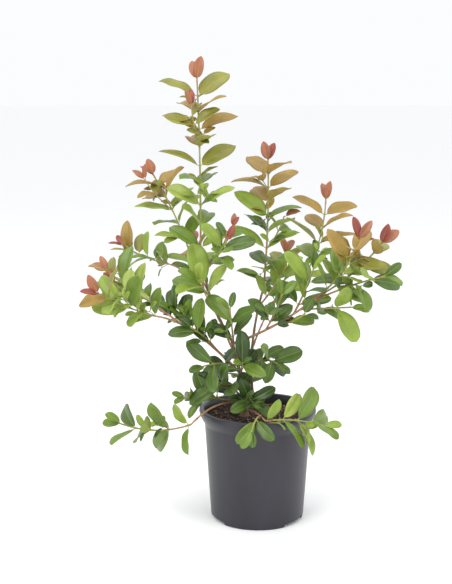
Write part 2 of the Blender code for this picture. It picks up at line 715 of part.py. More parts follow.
def make_foliage(shoot, plant):
    """One mass: a stem, its side twigs and its leaves, joined in one body."""
    name = "foliage_" + shoot.name
    meshes = [stem_tube(twig, TWIG_SIDES) for twig in plant["twigs"][shoot.name]]
    meshes += [leaf_mesh(leaf) for leaf in plant["leaves"][shoot.name]]
    for solver in ("EXACT", "MANIFOLD"):
        stem = stem_tube(plant["stems"][shoot.name], STEM_SIDES)
        body = add_body(name, *stem, foliage_colour(shoot), 0.5)
        join_parts(body, [add_body("leaf", *mesh) for mesh in meshes], solver)
        if shoot.at < 1.0:
            cut_away(body, [room_cutter(shoot.parent, plant["limbs"])])
        if keep_largest_shell(body):
            break
        bpy.data.objects.remove(body, do_unlink=True)
    round_off(body)


if __name__ == "__main__":
    main()
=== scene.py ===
"""A potted young guava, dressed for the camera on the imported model's frame.

Metres, +Z up, in the frame of the CAD model. The limbs and shoots grow by the
same rule as its solids, so every leaf stands where its solid does.
"""
import json
import random
from collections import namedtuple
from math import copysign, cos, exp, hypot, pi, radians, sin, sqrt

import bpy
from mathutils import Matrix, Vector, noise
from mathutils.bvhtree import BVHTree

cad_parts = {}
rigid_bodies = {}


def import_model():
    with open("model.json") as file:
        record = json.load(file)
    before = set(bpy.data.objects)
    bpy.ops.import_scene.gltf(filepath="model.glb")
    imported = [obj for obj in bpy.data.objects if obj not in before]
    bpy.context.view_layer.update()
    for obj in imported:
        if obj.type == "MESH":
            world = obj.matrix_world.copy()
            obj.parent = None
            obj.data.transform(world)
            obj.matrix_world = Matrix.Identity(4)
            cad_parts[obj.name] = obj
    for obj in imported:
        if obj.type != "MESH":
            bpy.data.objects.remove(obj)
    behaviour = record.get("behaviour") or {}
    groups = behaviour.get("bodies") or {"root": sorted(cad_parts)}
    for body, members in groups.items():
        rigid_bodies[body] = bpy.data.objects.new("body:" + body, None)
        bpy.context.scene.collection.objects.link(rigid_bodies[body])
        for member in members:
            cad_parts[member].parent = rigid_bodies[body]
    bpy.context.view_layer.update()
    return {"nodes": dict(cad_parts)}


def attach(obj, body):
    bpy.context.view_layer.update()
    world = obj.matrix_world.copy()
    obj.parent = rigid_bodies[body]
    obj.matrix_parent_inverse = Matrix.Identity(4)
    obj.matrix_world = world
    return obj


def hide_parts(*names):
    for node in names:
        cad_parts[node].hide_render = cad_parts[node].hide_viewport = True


MM = 0.001
UP = Vector((0.0, 0.0, 1.0))
RIGHT = Vector((1.0, 0.0, 0.0))
GAP = 0.3 * MM
QUARTER = 90.0
# Near enough a full turn, in radians
FULL_TURN = 6.28
# A direction that is shorter than this points nowhere
NO_LENGTH = 1e-6

# Pot and soil, as the solids have them; lengths down to the colours are in millimetres
RIM_DIAMETER = 190.0
BASE_DIAMETER = 151.0
POT_HEIGHT = 181.0
WALL_FLARE = 0.066
POT_WALL = 1.8
LIP_WIDTH = 7.0
LIP_BEVEL = 2.0
LIP_DEPTH = 9.0
COLLAR_DEPTH = 24.0
NOTCH_HEIGHT = 5.0
# The collar's height, then how far out it has swung, as shares from foot to rim
COLLAR_SWING = ((0.0, 0.0), (0.12, 0.17), (0.42, 0.61), (0.67, 0.91), (0.86, 1.0), (0.97, 0.96),
                (1.0, 0.85))
SOIL_LEVEL = 165.0
SOIL_BUMP = 1.6
FLAT_ROUND_FOOT = 16.0
# The soil's waves: speed and shift along x and y, then a slanting one's share and speeds
WAVE_X = (0.09, 1.1)
WAVE_Y = (0.11, -0.4)
SLANT_WAVE = 0.6
SLANT = (0.17, 0.14)
# Room kept free of leaves round the pot and over the soil
POT_ROOM = 1.0
MOUTH_ROOM = 2.0
COLLAR_ROOM_FROM = 0.4

# Trunk and stems, as the solids have them, with turns in degrees
TRUNK_FOOT = (-21.0, 5.0)
TRUNK_TOP = (-19.0, 3.0, 199.0)
TRUNK_THICK = (10.8, 8.0)
ROOT_FLARE = 1.7
FLARE_HEIGHT = 10.0
STEM_THICK = 3.2
TWIG_THICK = 2.3
SIDE_THICK = (2.2, 1.9)
SIDE_TURN_VARIES = 15
SIDE_LENGTH = (0.75, 1.05)
SIDE_BOW = 0.06
SIDE_PAIRS = 2
SIDE_FIRST_PAIR = 0.55
SIDE_LEAF = 0.8
# A side twig's aim: shares of its stem's heading, of its side and of up
SIDE_AIM = (0.85, 0.55, 0.25)

# Leaves, as the solids have them
STALK_WIDTH = 1.5
STALK_DEPTH = 1.2
BLADE_WIDTH = 0.44
BLADE_DEPTH = 1.5
BLADE_ABOVE = 0.4
BLADE_BELOW = 0.6
LEAF_CURL = 32.0
LEAF_SHORTENING = 0.16
TWICE_LONGEST_AT = 1.1
LEAF_LENGTH_VARIES = (0.9, 1.08)
LEAF_WIDTH_VARIES = (0.88, 1.12)
LEAF_CURL_VARIES = (0.6, 1.3)
LEAF_ROLL_VARIES = 24
FACES_TIP = 0.8
LIFT_FADES = 0.5
PAIR_SPREAD = 54.0
SPREAD_VARIES = 7
PAIR_TURN_VARIES = 12
PAIR_CROWDING = 0.2
LAST_PAIR = 0.62
LAST_PAIR_AT = 0.985
LAST_OPENING = 0.35
SPREAD_WIDE = 0.3
LIGHT = Vector((0.1, -0.75, 0.65))
# A solid blade's rings: how far along it, how wide and how deep
BLADE_STATIONS = ((0.36, 0.98, 1.0), (0.72, 0.88, 0.85))
# The tries at a free place: degrees round the stem, then degrees up towards it
SET_ASIDE = ((0, 0), (14, 0), (-14, 0), (0, 14), (0, -14), (28, 0), (-28, 0), (28, 14), (-28, 14),
             (14, -22), (-14, -22), (40, 0), (-40, 0))
CLEARANCE = 0.7
BLADE_FROM = 0.3
# Sides and runs of the rough tubes that stand for the wood in those tries
LIMB_TRIAL = (6, 8)
STEM_TRIAL = (5, 6)
POT_SIDES = 24

# Skin over the pot's solid, sharp where it bends by more than so many degrees
SKIN = 0.25
SKIN_SIDES = 144
SKIN_SHARP = 38.0
SKIN_ABOVE_NOTCH = 1.0
SKIN_TUCK = 0.6
SKIN_STATIONS = (60.0, 110.0)
SKIN_BELOW_COLLAR = 2.0
SKIN_LIP_TUCK = 1.6
SKIN_BORE_TUCK = 0.4
SKIN_SOIL_TUCK = 0.85
SKIN_BELOW_SOIL = 2.0

# Crumbly top of the soil
SOIL_GRID = (34, 110)
SOIL_INSET = 0.5
CRUMB_BASE = 0.5
CRUMB_RELIEF = 1.5
CRUMB_LEVEL = 0.45
# Two grains of crumb: share, fineness and the slice of the noise
CRUMB_NOISE = ((1.0, 0.32, 1.7), (0.6, 0.9, 4.2))

# Litter on the soil, with a tilt in radians and each kind's share out of a hundred or so
BITS = 1500
BIT_SEED = 90
BIT_INSET = 4.0
BIT_SIZE = (0.9, 2.4)
BIT_LIFT = 0.25
BIT_TILT = 0.7
BIT_SPANS = ((0.8, 1.5), (0.5, 0.9), (0.3, 0.6))
BIT_JITTER = (0.3, 0.3, 0.2)
Bit = namedtuple("Bit", "name dark light roughness share size")
BIT_KINDS = (
    Bit("bit_dark", (30, 22, 18), (62, 44, 34), 0.95, 60, 0.85),
    Bit("bit_bark", (104, 74, 58), (150, 112, 90), 0.9, 22, 1.25),
    Bit("bit_pink", (150, 112, 96), (196, 158, 140), 0.9, 6, 0.85),
    Bit("bit_pale", (172, 158, 132), (214, 202, 176), 0.85, 4, 0.85),
)
# The heap of pink bark right of the stems: its kind, its middle, its reach and what it adds
HEAP_KIND = 2
HEAP_CENTRE = (26.0, 8.0)
HEAP_REACH = 20.0
HEAP_SHARE = 26

# Finer detail of the stems
STEM_STEP = 4.0
FEWEST_RUNS = 3
STEM_TIP = 0.8
BARK_SIDES = 14
SHOOT_SIDES = 10
NODE_SWELL = 0.35
NODE_REACH = 3.0
BARK_RELIEF = 0.22
SHOOT_RELIEF = 0.08
SIDE_RELIEF = 0.05
# Fineness of the bark's relief along x, y and z, per metre
RELIEF_GRAIN = (260, 260, 110)
OLD_WOOD = ("trunk", "main", "centre_foot", "centre", "leader")
SHORT_WOOD = ("trunk", "centre_foot")
SHORT_SCARS = 3
LIMB_SCARS = 6
# How far up a shoot is brown, by its tone, and from where a stem is red
BROWN_UP_TO = (0.75, 0.5, 0.35, 0.12)
SHOOT_RED_FROM = 0.93
SIDE_RED_FROM = 0.9

# Sprouts in the leaf axils, their leaves as shares of the shoot's own
SPROUT_SEED = 5000
SPROUT_SHARE = 0.42
SPROUT_LENGTH = (9.0, 24.0)
SPROUT_THICK = (1.5, 1.0)
SPROUT_SIDES = 6
SPROUT_BOW = 0.05
SPROUT_FREE_PAIRS = 2
SPROUT_TWO_PAIRS = 17.0
SPROUT_LOW_PAIR_AT = 0.55
SPROUT_TURN_VARIES = 25
SPROUT_LEAF = (0.3, 0.5)
SPROUT_STAGE = 0.8
# A sprout's aim: shares of its stem's heading, of its side and of the light
SPROUT_ALONG = 0.85
SPROUT_OUT = (0.4, 0.7)
SPROUT_TO_LIGHT = 0.12

# Finer detail of the leaves
LEAF_SEED = 1000
SPROUT_LEAF_SEED = 7000
PLACE_AGE = 0.8
STALK_LENGTH = 5.0
STALK_LONGEST = 0.16
STALK_THICK = (1.4, 1.1)
STALK_SIDES = 6
STALK_RINGS = 3
STALK_OVERLAP = 1.25
STALK_DROP = 0.2
BLADE_FOLD = 15.0
FOLD_VARIES = (0.5, 1.5)
BLADE_DOME = 0.07
# Waves along a blade's edges, and how far in radians one edge's lag behind the other's
BLADE_WAVE = 0.014
BLADE_WAVES = (1.0, 2.2)
BLADE_WAVE_LAG = 2.0
LEAST_HALF = 0.3
LEAF_THICK = 0.35
RIB_WIDTH = 0.65
RIB_TAPER = 0.75
RIB_WIDEST = 0.35
RIB_SUNK = 0.12
WARM_RIB_FROM = 0.3
BLADE_ROWS = 14
ROW_START = 0.04
ROW_ENDS = 0.06
BLADE_COLUMNS = (-1.0, -0.68, -0.34, "left rib", "right rib", 0.34, 0.68, 1.0)
RIB_SIDES = {"left rib": -1.0, "right rib": 1.0}
# Blade outlines: the powers that round its foot and its tip, and the widest that they give
GROWN_OUTLINE = (0.66, 0.55, 0.432)
YOUNG_OUTLINE = (0.6, 0.72, 0.4)
BUD_LENGTH = 2.6
BUD_THICK = 1.2
BUD_SIDES = 5
# A bud's rings: how far along it and how wide
BUD_RINGS = ((0.0, 0.7), (0.4, 1.0), (0.8, 0.5))
AXIL_BUD_OUT = 1.2
AXIL_BUD = 0.8
SPROUT_BUD = 1.2
TIP_BUD = 2.2

# Leaf colours: upper face and underside, as they look on screen, 0 to 255
LEAF_COLOURS = {
    "dark": ((50, 74, 26), (100, 122, 62)),
    "mature": ((74, 100, 32), (122, 142, 70)),
    "mid": ((102, 128, 40), (144, 160, 80)),
    "bright": ((130, 152, 54), (160, 174, 90)),
    "lime": ((150, 168, 74), (176, 186, 106)),
    "olive": ((130, 130, 46), (160, 160, 80)),
    "bronze": ((152, 124, 54), (174, 150, 86)),
    "copper": ((156, 98, 68), (176, 132, 96)),
    "red": ((140, 66, 54), (164, 98, 80)),
}
RIB_COLOURS = {"green": (150, 164, 80), "warm": (172, 142, 80)}
# Which colours a leaf draws from, by its shoot's tone
TONE_MIX = (("dark", "dark", "mature"), ("mature", "dark", "mid", "mature"),
            ("mid", "mature", "bright", "mid"), ("bright", "lime", "bright", "mid"))
# Which colours a leaf under each age draws from; the first keep to their shoot's tone
AGE_MIX = ((0.06, None), (0.3, ("olive", "olive", "bronze")), (0.75, ("bronze", "olive", "bronze")),
           (0.95, ("bronze", "copper", "olive")), (1.1, ("copper", "red", "copper")))
GLOSSY = ("dark", "mature", "mid")
GLOSSY_ROUGH = 0.36
YOUNG_ROUGH = 0.42
UNDER_ROUGH = 0.6
RIB_ROUGH = 0.5
LEAF_SPECULAR = 0.45
# Where along the noise a leaf is darker and lighter, and by what factor
LEAF_SHADES = ((0.3, 0.84), (0.7, 1.14))

# Wood colours: darker and lighter, and the roughness
BARKS = (("bark_old", (100, 78, 58), (152, 124, 98), 0.75),
         ("bark_young", (132, 96, 70), (182, 140, 106), 0.65))
STEM_BARKS = (("stem_brown", (126, 94, 62), (168, 132, 90), 0.6),
              ("stem_green", (128, 134, 66), (162, 160, 84), 0.5),
              ("stem_red", (150, 116, 68), (178, 146, 88), 0.5))
BARK_STOPS = (0.3, 0.7)
POT_STOPS = ((0.25, (28, 28, 35)), (0.8, (46, 45, 54)))
POT_ROUGH = 0.36
SOIL_STOPS = ((0.35, (28, 20, 17)), (0.55, (58, 42, 34)), (0.72, (96, 72, 56)))
SOIL_ROUGH = 0.95

# Noises by fineness per metre, detail and stretch, and bumps by height and strength
Grain = namedtuple("Grain", "scale detail stretch", defaults=[(1.0, 1.0, 1.0)])
Bump = namedtuple("Bump", "height strength")
LEAF_DRIFT = Grain(45.0, 2.0)
LEAF_DIMPLES = Grain(900.0, 3.0)
LEAF_BUMP = Bump(0.1 * MM, 0.5)
BARK_STREAKS = Grain(160.0, 6.0, (1.0, 1.0, 0.3))
BARK_FLAKES = Grain(700.0, 5.0, (1.0, 1.0, 0.4))
BARK_BUMP = Bump(0.3 * MM, 0.7)
POT_CLOUDS = Grain(14.0, 5.0, (1.0, 1.0, 0.25))
POT_SPECKS = Grain(520.0, 3.0)
POT_BUMP = Bump(0.12 * MM, 0.4)
SOIL_CRUMBS = Grain(260.0, 6.0)
SOIL_LUMPS = Grain(480.0, 8.0)
CRUMB_BUMP = Bump(1.2 * MM, 1.0)

# Camera, as the photograph was taken, in metres, degrees and pixels
CAMERA_PLACE = (0.0, -1.78, 0.6864)
CAMERA_DOWN = 10.01
CAMERA_LEFT = 1.656
FOCAL_PIXELS = 1129.0
PICTURE_WIDTH = 452.0
SENSOR_WIDTH = 36.0
FAR_CLIP = 200.0

# Studio, metres and watts
FLOOR_REACH = 60.0
FLOOR_DROP = 0.0005
FLOOR_WHITE = (252, 252, 252)
FLOOR_ROUGH = 0.9
AIR_COLOUR = (0.97, 0.98, 1.0, 1.0)
LIGHT_AIM = Vector((0.0, 0.0, 0.35))
# Each soft light: its name, place, size and power
LIGHTS = (("key", (-1.3, -1.7, 2.2), 1.6, 34.0),
          ("fill", (1.6, -1.2, 1.4), 1.4, 12.0),
          ("top", (0.0, 0.1, 2.4), 1.6, 14.0))

# Limbs: where each leaves its parent, as a share, its tip, how far its middle is swung aside,
# and how thick it is at foot and tip
Limb = namedtuple("Limb", "name parent at tip bow thick")
LIMBS = [Limb(*row) for row in (
    ("main", "trunk", 1.0, (-42, 0, 292), (0, 0, 0), (6.6, 5.0)),
    ("centre_foot", "trunk", 0.42, (-9, 1, 212), (3, 0, -3), (5.8, 5.2)),
    ("centre", "centre_foot", 1.0, (9, 56, 370), (-8, -12, 0), (5.0, 3.2)),
    ("leader", "main", 1.0, (-93, 18, 432), (-8, 0, -3), (4.6, 3.2)),
    ("left", "main", 0.42, (-116, -28, 321), (-5, 0, 10), (4.8, 3.4)),
    ("right", "main", 0.95, (99, -75, 386), (4, 0, -7), (4.4, 3.0)),
    ("right_rear", "centre", 0.74, (73, 90, 374), (0, 0, 2), (3.0, 2.6)),
    ("upper_left", "leader", 0.58, (-118, 54, 444), (0, 0, -6), (2.9, 2.5)),
    ("left_high", "leader", 0.50, (-150, 98, 402), (0, 6, 8), (2.8, 2.4)),
    ("left_rear", "left", 1.0, (-170, -10, 356), (0, 0, 0), (3.2, 2.6)),
    ("left_front", "left", 0.82, (-158, -66, 345), (0, 0, 4), (3.0, 2.5)),
    ("low_left", "trunk", 0.50, (-104, -74, 174), (0, 0, 17), (3.6, 2.8)),
    ("low_right", "trunk", 0.30, (12, -92, 186), (0, 0, 5), (3.4, 2.6)),
    ("back", "centre", 0.40, (28, 132, 330), (0, 0, 8), (3.2, 2.6)),
    ("back_left", "main", 0.62, (-88, 92, 350), (0, 0, 6), (3.2, 2.6)),
)]

# Shoots: as the limbs, then the leaf pairs, the first one's place as a share, the leaves' length,
# the first pair's turn, how far leaves reach up, the share that flushes, the tone, the axils that
# bear side twigs, a minus for the far side, and a seed
Shoot = namedtuple("Shoot", "name parent at tip bow pairs first leaf turn lift flush tone twigs seed")
SHOOTS = [Shoot(*row) for row in (
    ("leader", "leader", 1.0, (-98, 25, 709), (2, 0, 0), 10, 0.03, 72, 10, 0, 0.62, 3, (-5,), 1),
    ("upper_left", "upper_left", 1.0, (-174, 90, 552), (2, 0, 2), 6, 0.04, 64, 30, 0.1, 0.55, 3, (2,), 2),
    ("left_high", "left_high", 1.0, (-234, 150, 426), (0, 0, -4), 6, 0.02, 52, 90, 0.7, 0.4, 2, (), 3),
    ("left_rear", "left_rear", 1.0, (-242, 4, 404), (0, 0, -3), 6, 0.02, 60, 80, 0.5, 0.35, 3, (1,), 4),
    ("left_front", "left_front", 1.0, (-240, -112, 388), (0, 0, -3), 6, 0.02, 62, 10, 0.35, 0.35, 3,
     (1,), 5),
    ("left_middle", "left", 0.78, (-150, 14, 345), (0, 0, 4), 5, 0.2, 56, 90, 0.9, 0, 1, (), 6),
    ("left_inner", "left", 0.35, (-104, -44, 322), (0, 0, 4), 4, 0.3, 54, 40, 0.7, 0, 1, (), 7),
    ("left_low", "main", 0.55, (-84, -48, 262), (0, 0, 4), 3, 0.4, 56, 40, 0, 0, 1, (), 21),
    ("centre_left", "leader", 0.5, (-95, -36, 396), (0, 0, 0), 3, 0.3, 72, 0, 0.5, 0, 3, (), 22),
    ("centre_front", "leader", 0.8, (-48, -44, 462), (0, 0, -4), 4, 0.3, 52, 0, 0.4, 0.1, 2, (1,), 8),
    ("centre_top", "centre", 1.0, (15, 76, 578), (3, 0, 0), 9, 0.03, 70, 20, 0, 0.45, 2, (-2,), 9),
    ("centre_right", "centre", 0.82, (44, 20, 410), (0, 0, -4), 4, 0.3, 62, 30, 0.3, 0, 2, (), 23),
    ("centre_low", "centre", 0.3, (30, -28, 262), (0, 0, 4), 4, 0.4, 52, 30, 0.1, 0, 1, (), 24),
    ("main_front", "main", 0.35, (-24, -52, 268), (0, 0, 4), 3, 0.35, 54, 30, 0.3, 0, 1, (), 25),
    ("main_high", "main", 0.8, (-44, -46, 352), (0, 0, 0), 3, 0.35, 60, 30, 0.4, 0, 1, (), 26),
    ("right_rear", "right_rear", 1.0, (113, 121, 508), (8, 0, -3), 6, 0.08, 66, 15, 0, 0.6, 3, (), 10),
    ("right_top", "right", 1.0, (150, -98, 470), (6, 0, -4), 5, 0.08, 64, 0, 0.1, 0.5, 3, (1,), 11),
    ("right_tip", "right", 0.93, (186, -80, 462), (6, 0, -4), 5, 0.25, 62, 0, 0.1, 0.5, 3, (), 12),
    ("right_outer", "right", 0.84, (186, -122, 418), (0, 0, 4), 4, 0.4, 62, 0, 0, 0, 2, (), 13),
    ("right_low", "right", 0.74, (140, -104, 368), (0, 0, 0), 3, 0.4, 58, 0, -0.1, 0, 2, (), 32),
    ("right_mid", "right", 0.66, (84, -52, 415), (0, 0, -4), 4, 0.25, 64, 0, 0.2, 0, 2, (), 14),
    ("right_inner", "right", 0.35, (36, -66, 378), (0, 0, -4), 3, 0.3, 62, 0, 0.3, 0, 1, (), 15),
    ("right_under", "right", 0.48, (70, -82, 352), (0, 0, -4), 2, 0.4, 58, 20, 0, 0, 1, (), 16),
    ("low_left", "low_left", 1.0, (-212, -94, 180), (0, 0, -10), 5, 0.03, 62, 0, 0.1, 0, 2, (), 17),
    ("low_left_top", "trunk", 0.6, (-116, -22, 203), (0, 0, 4), 4, 0.45, 46, 0, 0.3, 0, 2, (), 18),
    ("low_right", "low_right", 1.0, (102, -96, 180), (0, 0, 5), 5, 0.02, 58, 0, 0.2, 0, 3, (), 19),
    ("low_front", "low_right", 0.82, (-8, -112, 178), (0, 0, 8), 2, 0.6, 60, 40, -0.6, 0, 2, (), 33),
    ("foot_left", "trunk", 0.85, (-68, -40, 236), (0, 0, 4), 4, 0.3, 62, 30, 0.2, 0, 0, (), 27),
    ("foot_front", "trunk", 0.65, (-8, -48, 204), (0, 0, 4), 4, 0.3, 48, 30, 0.2, 0, 0, (), 28),
    ("back", "back", 1.0, (46, 178, 410), (0, 0, -4), 5, 0.05, 62, 30, 0.2, 0.3, 2, (1,), 29),
    ("back_left", "back_left", 1.0, (-112, 140, 432), (0, 0, -4), 5, 0.05, 62, 30, 0.2, 0.3, 2, (1,), 30),
    ("back_low", "trunk", 0.8, (-14, 92, 240), (0, 0, 4), 4, 0.3, 56, 30, 0.2, 0, 1, (), 31),
)]

Stem = namedtuple("Stem", "place heading lead start_radius tip_radius")
Leaf = namedtuple("Leaf", "root along face length width curl age tone")


def main():
    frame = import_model()
    plant = grow()
    plant["sprouts"] = grow_sprouts(plant)
    make_camera()
    make_studio()
    dress_pot(frame["nodes"]["pot"])
    dress_soil(frame["nodes"]["soil"])
    make_litter()
    make_bark(plant)
    make_shoot_stems(plant)
    make_leaves(plant)


# Round shapes


def around(sides, shift=0.0):
    """The angles at which a ring's points stand."""
    return [2.0 * pi * (k + shift) / sides for k in range(sides)]


def ring_points(centre, side, other, radius, sides):
    """A ring about a centre, in the plane of two directions."""
    return [centre + (side * cos(angle) + other * sin(angle)) * radius
            for angle in around(sides)]


def turned_points(profile, sides):
    """A half section turned about the upright axis, ring by ring."""
    return [Vector((radius * cos(angle), radius * sin(angle), height)) * MM
            for radius, height in profile for angle in around(sides)]


def bands(first, sides, rings):
    """The faces from ring to ring, the first one starting at point first."""
    faces = []
    for here in range(first, first + (rings - 1) * sides, sides):
        there = here + sides
        for k in range(sides):
            following = (k + 1) % sides
            faces.append((here + k, here + following, there + following, there + k))
    return faces


def closed_tube(sides, rings):
    """The faces of a tube with flat ends."""
    last = (rings - 1) * sides
    return [tuple(reversed(range(sides))), *bands(0, sides, rings), tuple(range(last, last + sides))]


def fan(here, tip, sides):
    """The faces from a ring to a tip."""
    return [(here + k, here + (k + 1) % sides, tip) for k in range(sides)]


def turned_over(faces):
    """The same faces, seen from the other side."""
    return [(face[0], *reversed(face[1:])) for face in faces]


def either_way(rng, most):
    return rng.uniform(-most, most)


# The plant's growing rule, as its solids have it


def path(start, tip, bow):
    """A smooth run from start to tip whose middle is swung aside by bow."""
    control = (start + tip) * 0.5 + bow * 2.0

    def place(t):
        return start * (1 - t) ** 2 + control * (2 * t * (1 - t)) + tip * t * t

    def heading(t):
        return ((control - start) * (1 - t) + (tip - control) * t).normalized()

    return place, heading


def radius_at(stem, t):
    return stem.start_radius + (stem.tip_radius - stem.start_radius) * t


def square_to(direction, axis):
    """The part of direction that is square to axis, as a unit vector."""
    side = direction - axis * direction.dot(axis)
    if side.length < NO_LENGTH:
        side = axis.orthogonal()
    return side.normalized()


def grown_from(parent, at, tip, bow, thick):
    """A stem from part of the way along its parent, or end to end with it at 1."""
    start = parent.place(at)
    if at == 1.0:
        start = start + parent.heading(1.0) * GAP
    place, heading = path(start, Vector(tip) * MM, Vector(bow) * MM)
    lead = parent.heading(1.0) if at == 1.0 else heading(0.0)
    return Stem(place, heading, lead, 0.5 * thick[0] * MM, 0.5 * thick[1] * MM)


def grow_limbs():
    foot = Vector((*TRUNK_FOOT, SOIL_LEVEL)) * MM + UP * GAP
    place, heading = path(foot, Vector(TRUNK_TOP) * MM, Vector())
    limbs = {"trunk": Stem(place, heading, UP, *[0.5 * width * MM for width in TRUNK_THICK])}
    for limb in LIMBS:
        limbs[limb.name] = grown_from(limbs[limb.parent], limb.at, limb.tip, limb.bow, limb.thick)
    return limbs


def shoot_stem(shoot, limbs):
    parent = limbs[shoot.parent]
    thick = min(2.0 * radius_at(parent, shoot.at) / MM, STEM_THICK)
    return grown_from(parent, shoot.at, shoot.tip, shoot.bow, (thick, TWIG_THICK))


def twig_towards(start, aim, length, side, bow, thick):
    """A short twig whose middle is swung to the side by a share of its length."""
    place, heading = path(start, start + aim * length, side * length * bow)
    return Stem(place, heading, heading(0.0), *[0.5 * width * MM for width in thick])


def pair_places(count, first):
    """How high up the shoot each leaf pair is, and where along its stem it stands."""
    places = []
    for k in range(count):
        u = k / (count - 1)
        crowding = 1.0 + PAIR_CROWDING - PAIR_CROWDING * u
        places.append((u, first + (LAST_PAIR_AT - first) * u * crowding))
    return places


def leaf_size(u):
    """Leaves are longest a little above the middle, and the last pair is half grown."""
    size = 1.0 - LEAF_SHORTENING * (2.0 * u - TWICE_LONGEST_AT) ** 2
    return size * LAST_PAIR if u == 1.0 else size


def sideways(stem, t, degrees):
    """The heading off the stem at so many degrees round it, drawn out to the sides."""
    axis = stem.heading(t)
    side = Matrix.Rotation(radians(degrees), 3, axis) @ square_to(RIGHT, axis)
    wide = copysign(SPREAD_WIDE, side.dot(RIGHT))
    return square_to(side + RIGHT * wide, axis)


def make_leaf(stem, t, side, u, shoot, rng):
    """One leaf of a pair, standing off the stem towards side and bending back."""
    axis = stem.heading(t)
    opening = PAIR_SPREAD * (1.0 if u < 1.0 else LAST_OPENING)
    spread = radians(opening + either_way(rng, SPREAD_VARIES))
    along = axis * cos(spread) + side * sin(spread)
    along = (along + UP * shoot.lift * (1.0 - LIFT_FADES * u)).normalized()
    roll = Matrix.Rotation(radians(either_way(rng, LEAF_ROLL_VARIES)), 3, along)
    face = roll @ square_to(axis * FACES_TIP + LIGHT, along)
    length = shoot.leaf * MM * leaf_size(u) * rng.uniform(*LEAF_LENGTH_VARIES)
    width = length * BLADE_WIDTH * rng.uniform(*LEAF_WIDTH_VARIES)
    curl = radians(LEAF_CURL * rng.uniform(*LEAF_CURL_VARIES))
    age = max(0.0, 1.0 - (1.0 - u) / shoot.flush) if shoot.flush else 0.0
    return Leaf(stem.place(t), along, face, length, width, curl, age, shoot.tone)


def scaled(leaf, scale):
    return leaf._replace(length=leaf.length * scale, width=leaf.width * scale)


def grow_pairs(stem, count, first, turn, shoot, rng, scale=1.0):
    """Opposite pairs of leaves, each a quarter turn round from the last."""
    leaves = []
    for k, (u, t) in enumerate(pair_places(count, first)):
        side = sideways(stem, t, turn + QUARTER * k + either_way(rng, PAIR_TURN_VARIES))
        for sense in (1.0, -1.0):
            leaves.append(scaled(make_leaf(stem, t, side * sense, u, shoot, rng), scale))
    return leaves


def grow_twigs(stem, shoot, rng):
    """Short side twigs out of the axils that the shoot names."""
    ahead, aside, upward = SIDE_AIM
    twigs = []
    for axil in shoot.twigs:
        t = pair_places(shoot.pairs, shoot.first)[abs(axil)][1]
        far_side = 2 * QUARTER if axil < 0 else 0.0
        varied = either_way(rng, SIDE_TURN_VARIES)
        side = sideways(stem, t, shoot.turn + QUARTER * abs(axil) + far_side + varied)
        aim = (stem.heading(t) * ahead + side * aside + UP * upward).normalized()
        length = shoot.leaf * MM * rng.uniform(*SIDE_LENGTH)
        twigs.append(twig_towards(stem.place(t), aim, length, side, SIDE_BOW, SIDE_THICK))
    return twigs


def shape_of(points, faces):
    return BVHTree.FromPolygons(points, faces)


def meets_any(shape, others):
    return any(shape.overlap(other) for other in others)


def set_aside(leaf, axis, turn, rise):
    """The same leaf turned round its stem and raised towards it, in degrees."""
    spin = Matrix.Rotation(radians(turn), 3, axis)
    along = spin @ leaf.along
    face = spin @ leaf.face
    tip_up = Matrix.Rotation(radians(rise), 3, along.cross(face))
    return leaf._replace(along=tip_up @ along, face=tip_up @ face)


def free_leaf(leaf, axis, others, own_blades):
    """The leaf, set aside as far as it takes to stand free, or None."""
    for turn, rise in SET_ASIDE:
        trial = set_aside(leaf, axis, turn, rise)
        whole = shape_of(*leaf_mesh(trial, CLEARANCE * MM))
        if meets_any(whole, others):
            continue
        blade = shape_of(*leaf_mesh(trial, CLEARANCE * MM, BLADE_FROM))
        if meets_any(blade, own_blades):
            continue
        own_blades.append(blade)
        return trial, whole
    return None


def grow():
    """Every limb, stem, twig and leaf, each kept to its space."""
    limbs = grow_limbs()
    stems = {shoot.name: shoot_stem(shoot, limbs) for shoot in SHOOTS}
    wood = {"": [shape_of(*tube_mesh(limb, *LIMB_TRIAL, CLEARANCE * MM)) for limb in limbs.values()]}
    wood[""].append(shape_of(*pot_room()))
    twigs = {}
    seeds = {shoot.name: random.Random(shoot.seed) for shoot in SHOOTS}
    for shoot in SHOOTS:
        stem = stems[shoot.name]
        twigs[shoot.name] = grow_twigs(stem, shoot, seeds[shoot.name])
        runs = [stem] + twigs[shoot.name]
        wood[shoot.name] = [shape_of(*tube_mesh(run, *STEM_TRIAL)) for run in runs]
    leaves = {}
    grown = []
    for shoot in SHOOTS:
        others = [shape for name in wood for shape in wood[name] if name != shoot.name] + grown
        leaves[shoot.name], shapes = grow_leaves(shoot, stems, twigs, others, seeds)
        grown += shapes
    return {"limbs": limbs, "stems": stems, "twigs": twigs, "leaves": leaves}


def grow_leaves(shoot, stems, twigs, others, seeds):
    """The leaves of one shoot, less any that find no free place."""
    stem = stems[shoot.name]
    rng = seeds[shoot.name]
    wanted = grow_pairs(stem, shoot.pairs, shoot.first, shoot.turn, shoot, rng)
    axes = [stem.heading(0.5)] * len(wanted)
    for twig in twigs[shoot.name]:
        turn = rng.uniform(0, QUARTER)
        more = grow_pairs(twig, SIDE_PAIRS, SIDE_FIRST_PAIR, turn, shoot, rng, SIDE_LEAF)
        wanted += more
        axes += [twig.heading(0.5)] * len(more)
    kept = []
    shapes = []
    blades = []
    for leaf, axis in zip(wanted, axes):
        found = free_leaf(leaf, axis, others, blades)
        if found:
            kept.append(found[0])
            shapes.append(found[1])
    return kept, shapes


def tube_mesh(stem, sides, runs, extra=0.0):
    """A tapering round stem, its first ring square to the way its parent runs."""
    points = []
    for t, centre, side, other in frames(stem, runs, stem.lead):
        points += ring_points(centre, side, other, radius_at(stem, t) + extra, sides)
    return points, closed_tube(sides, runs + 1)


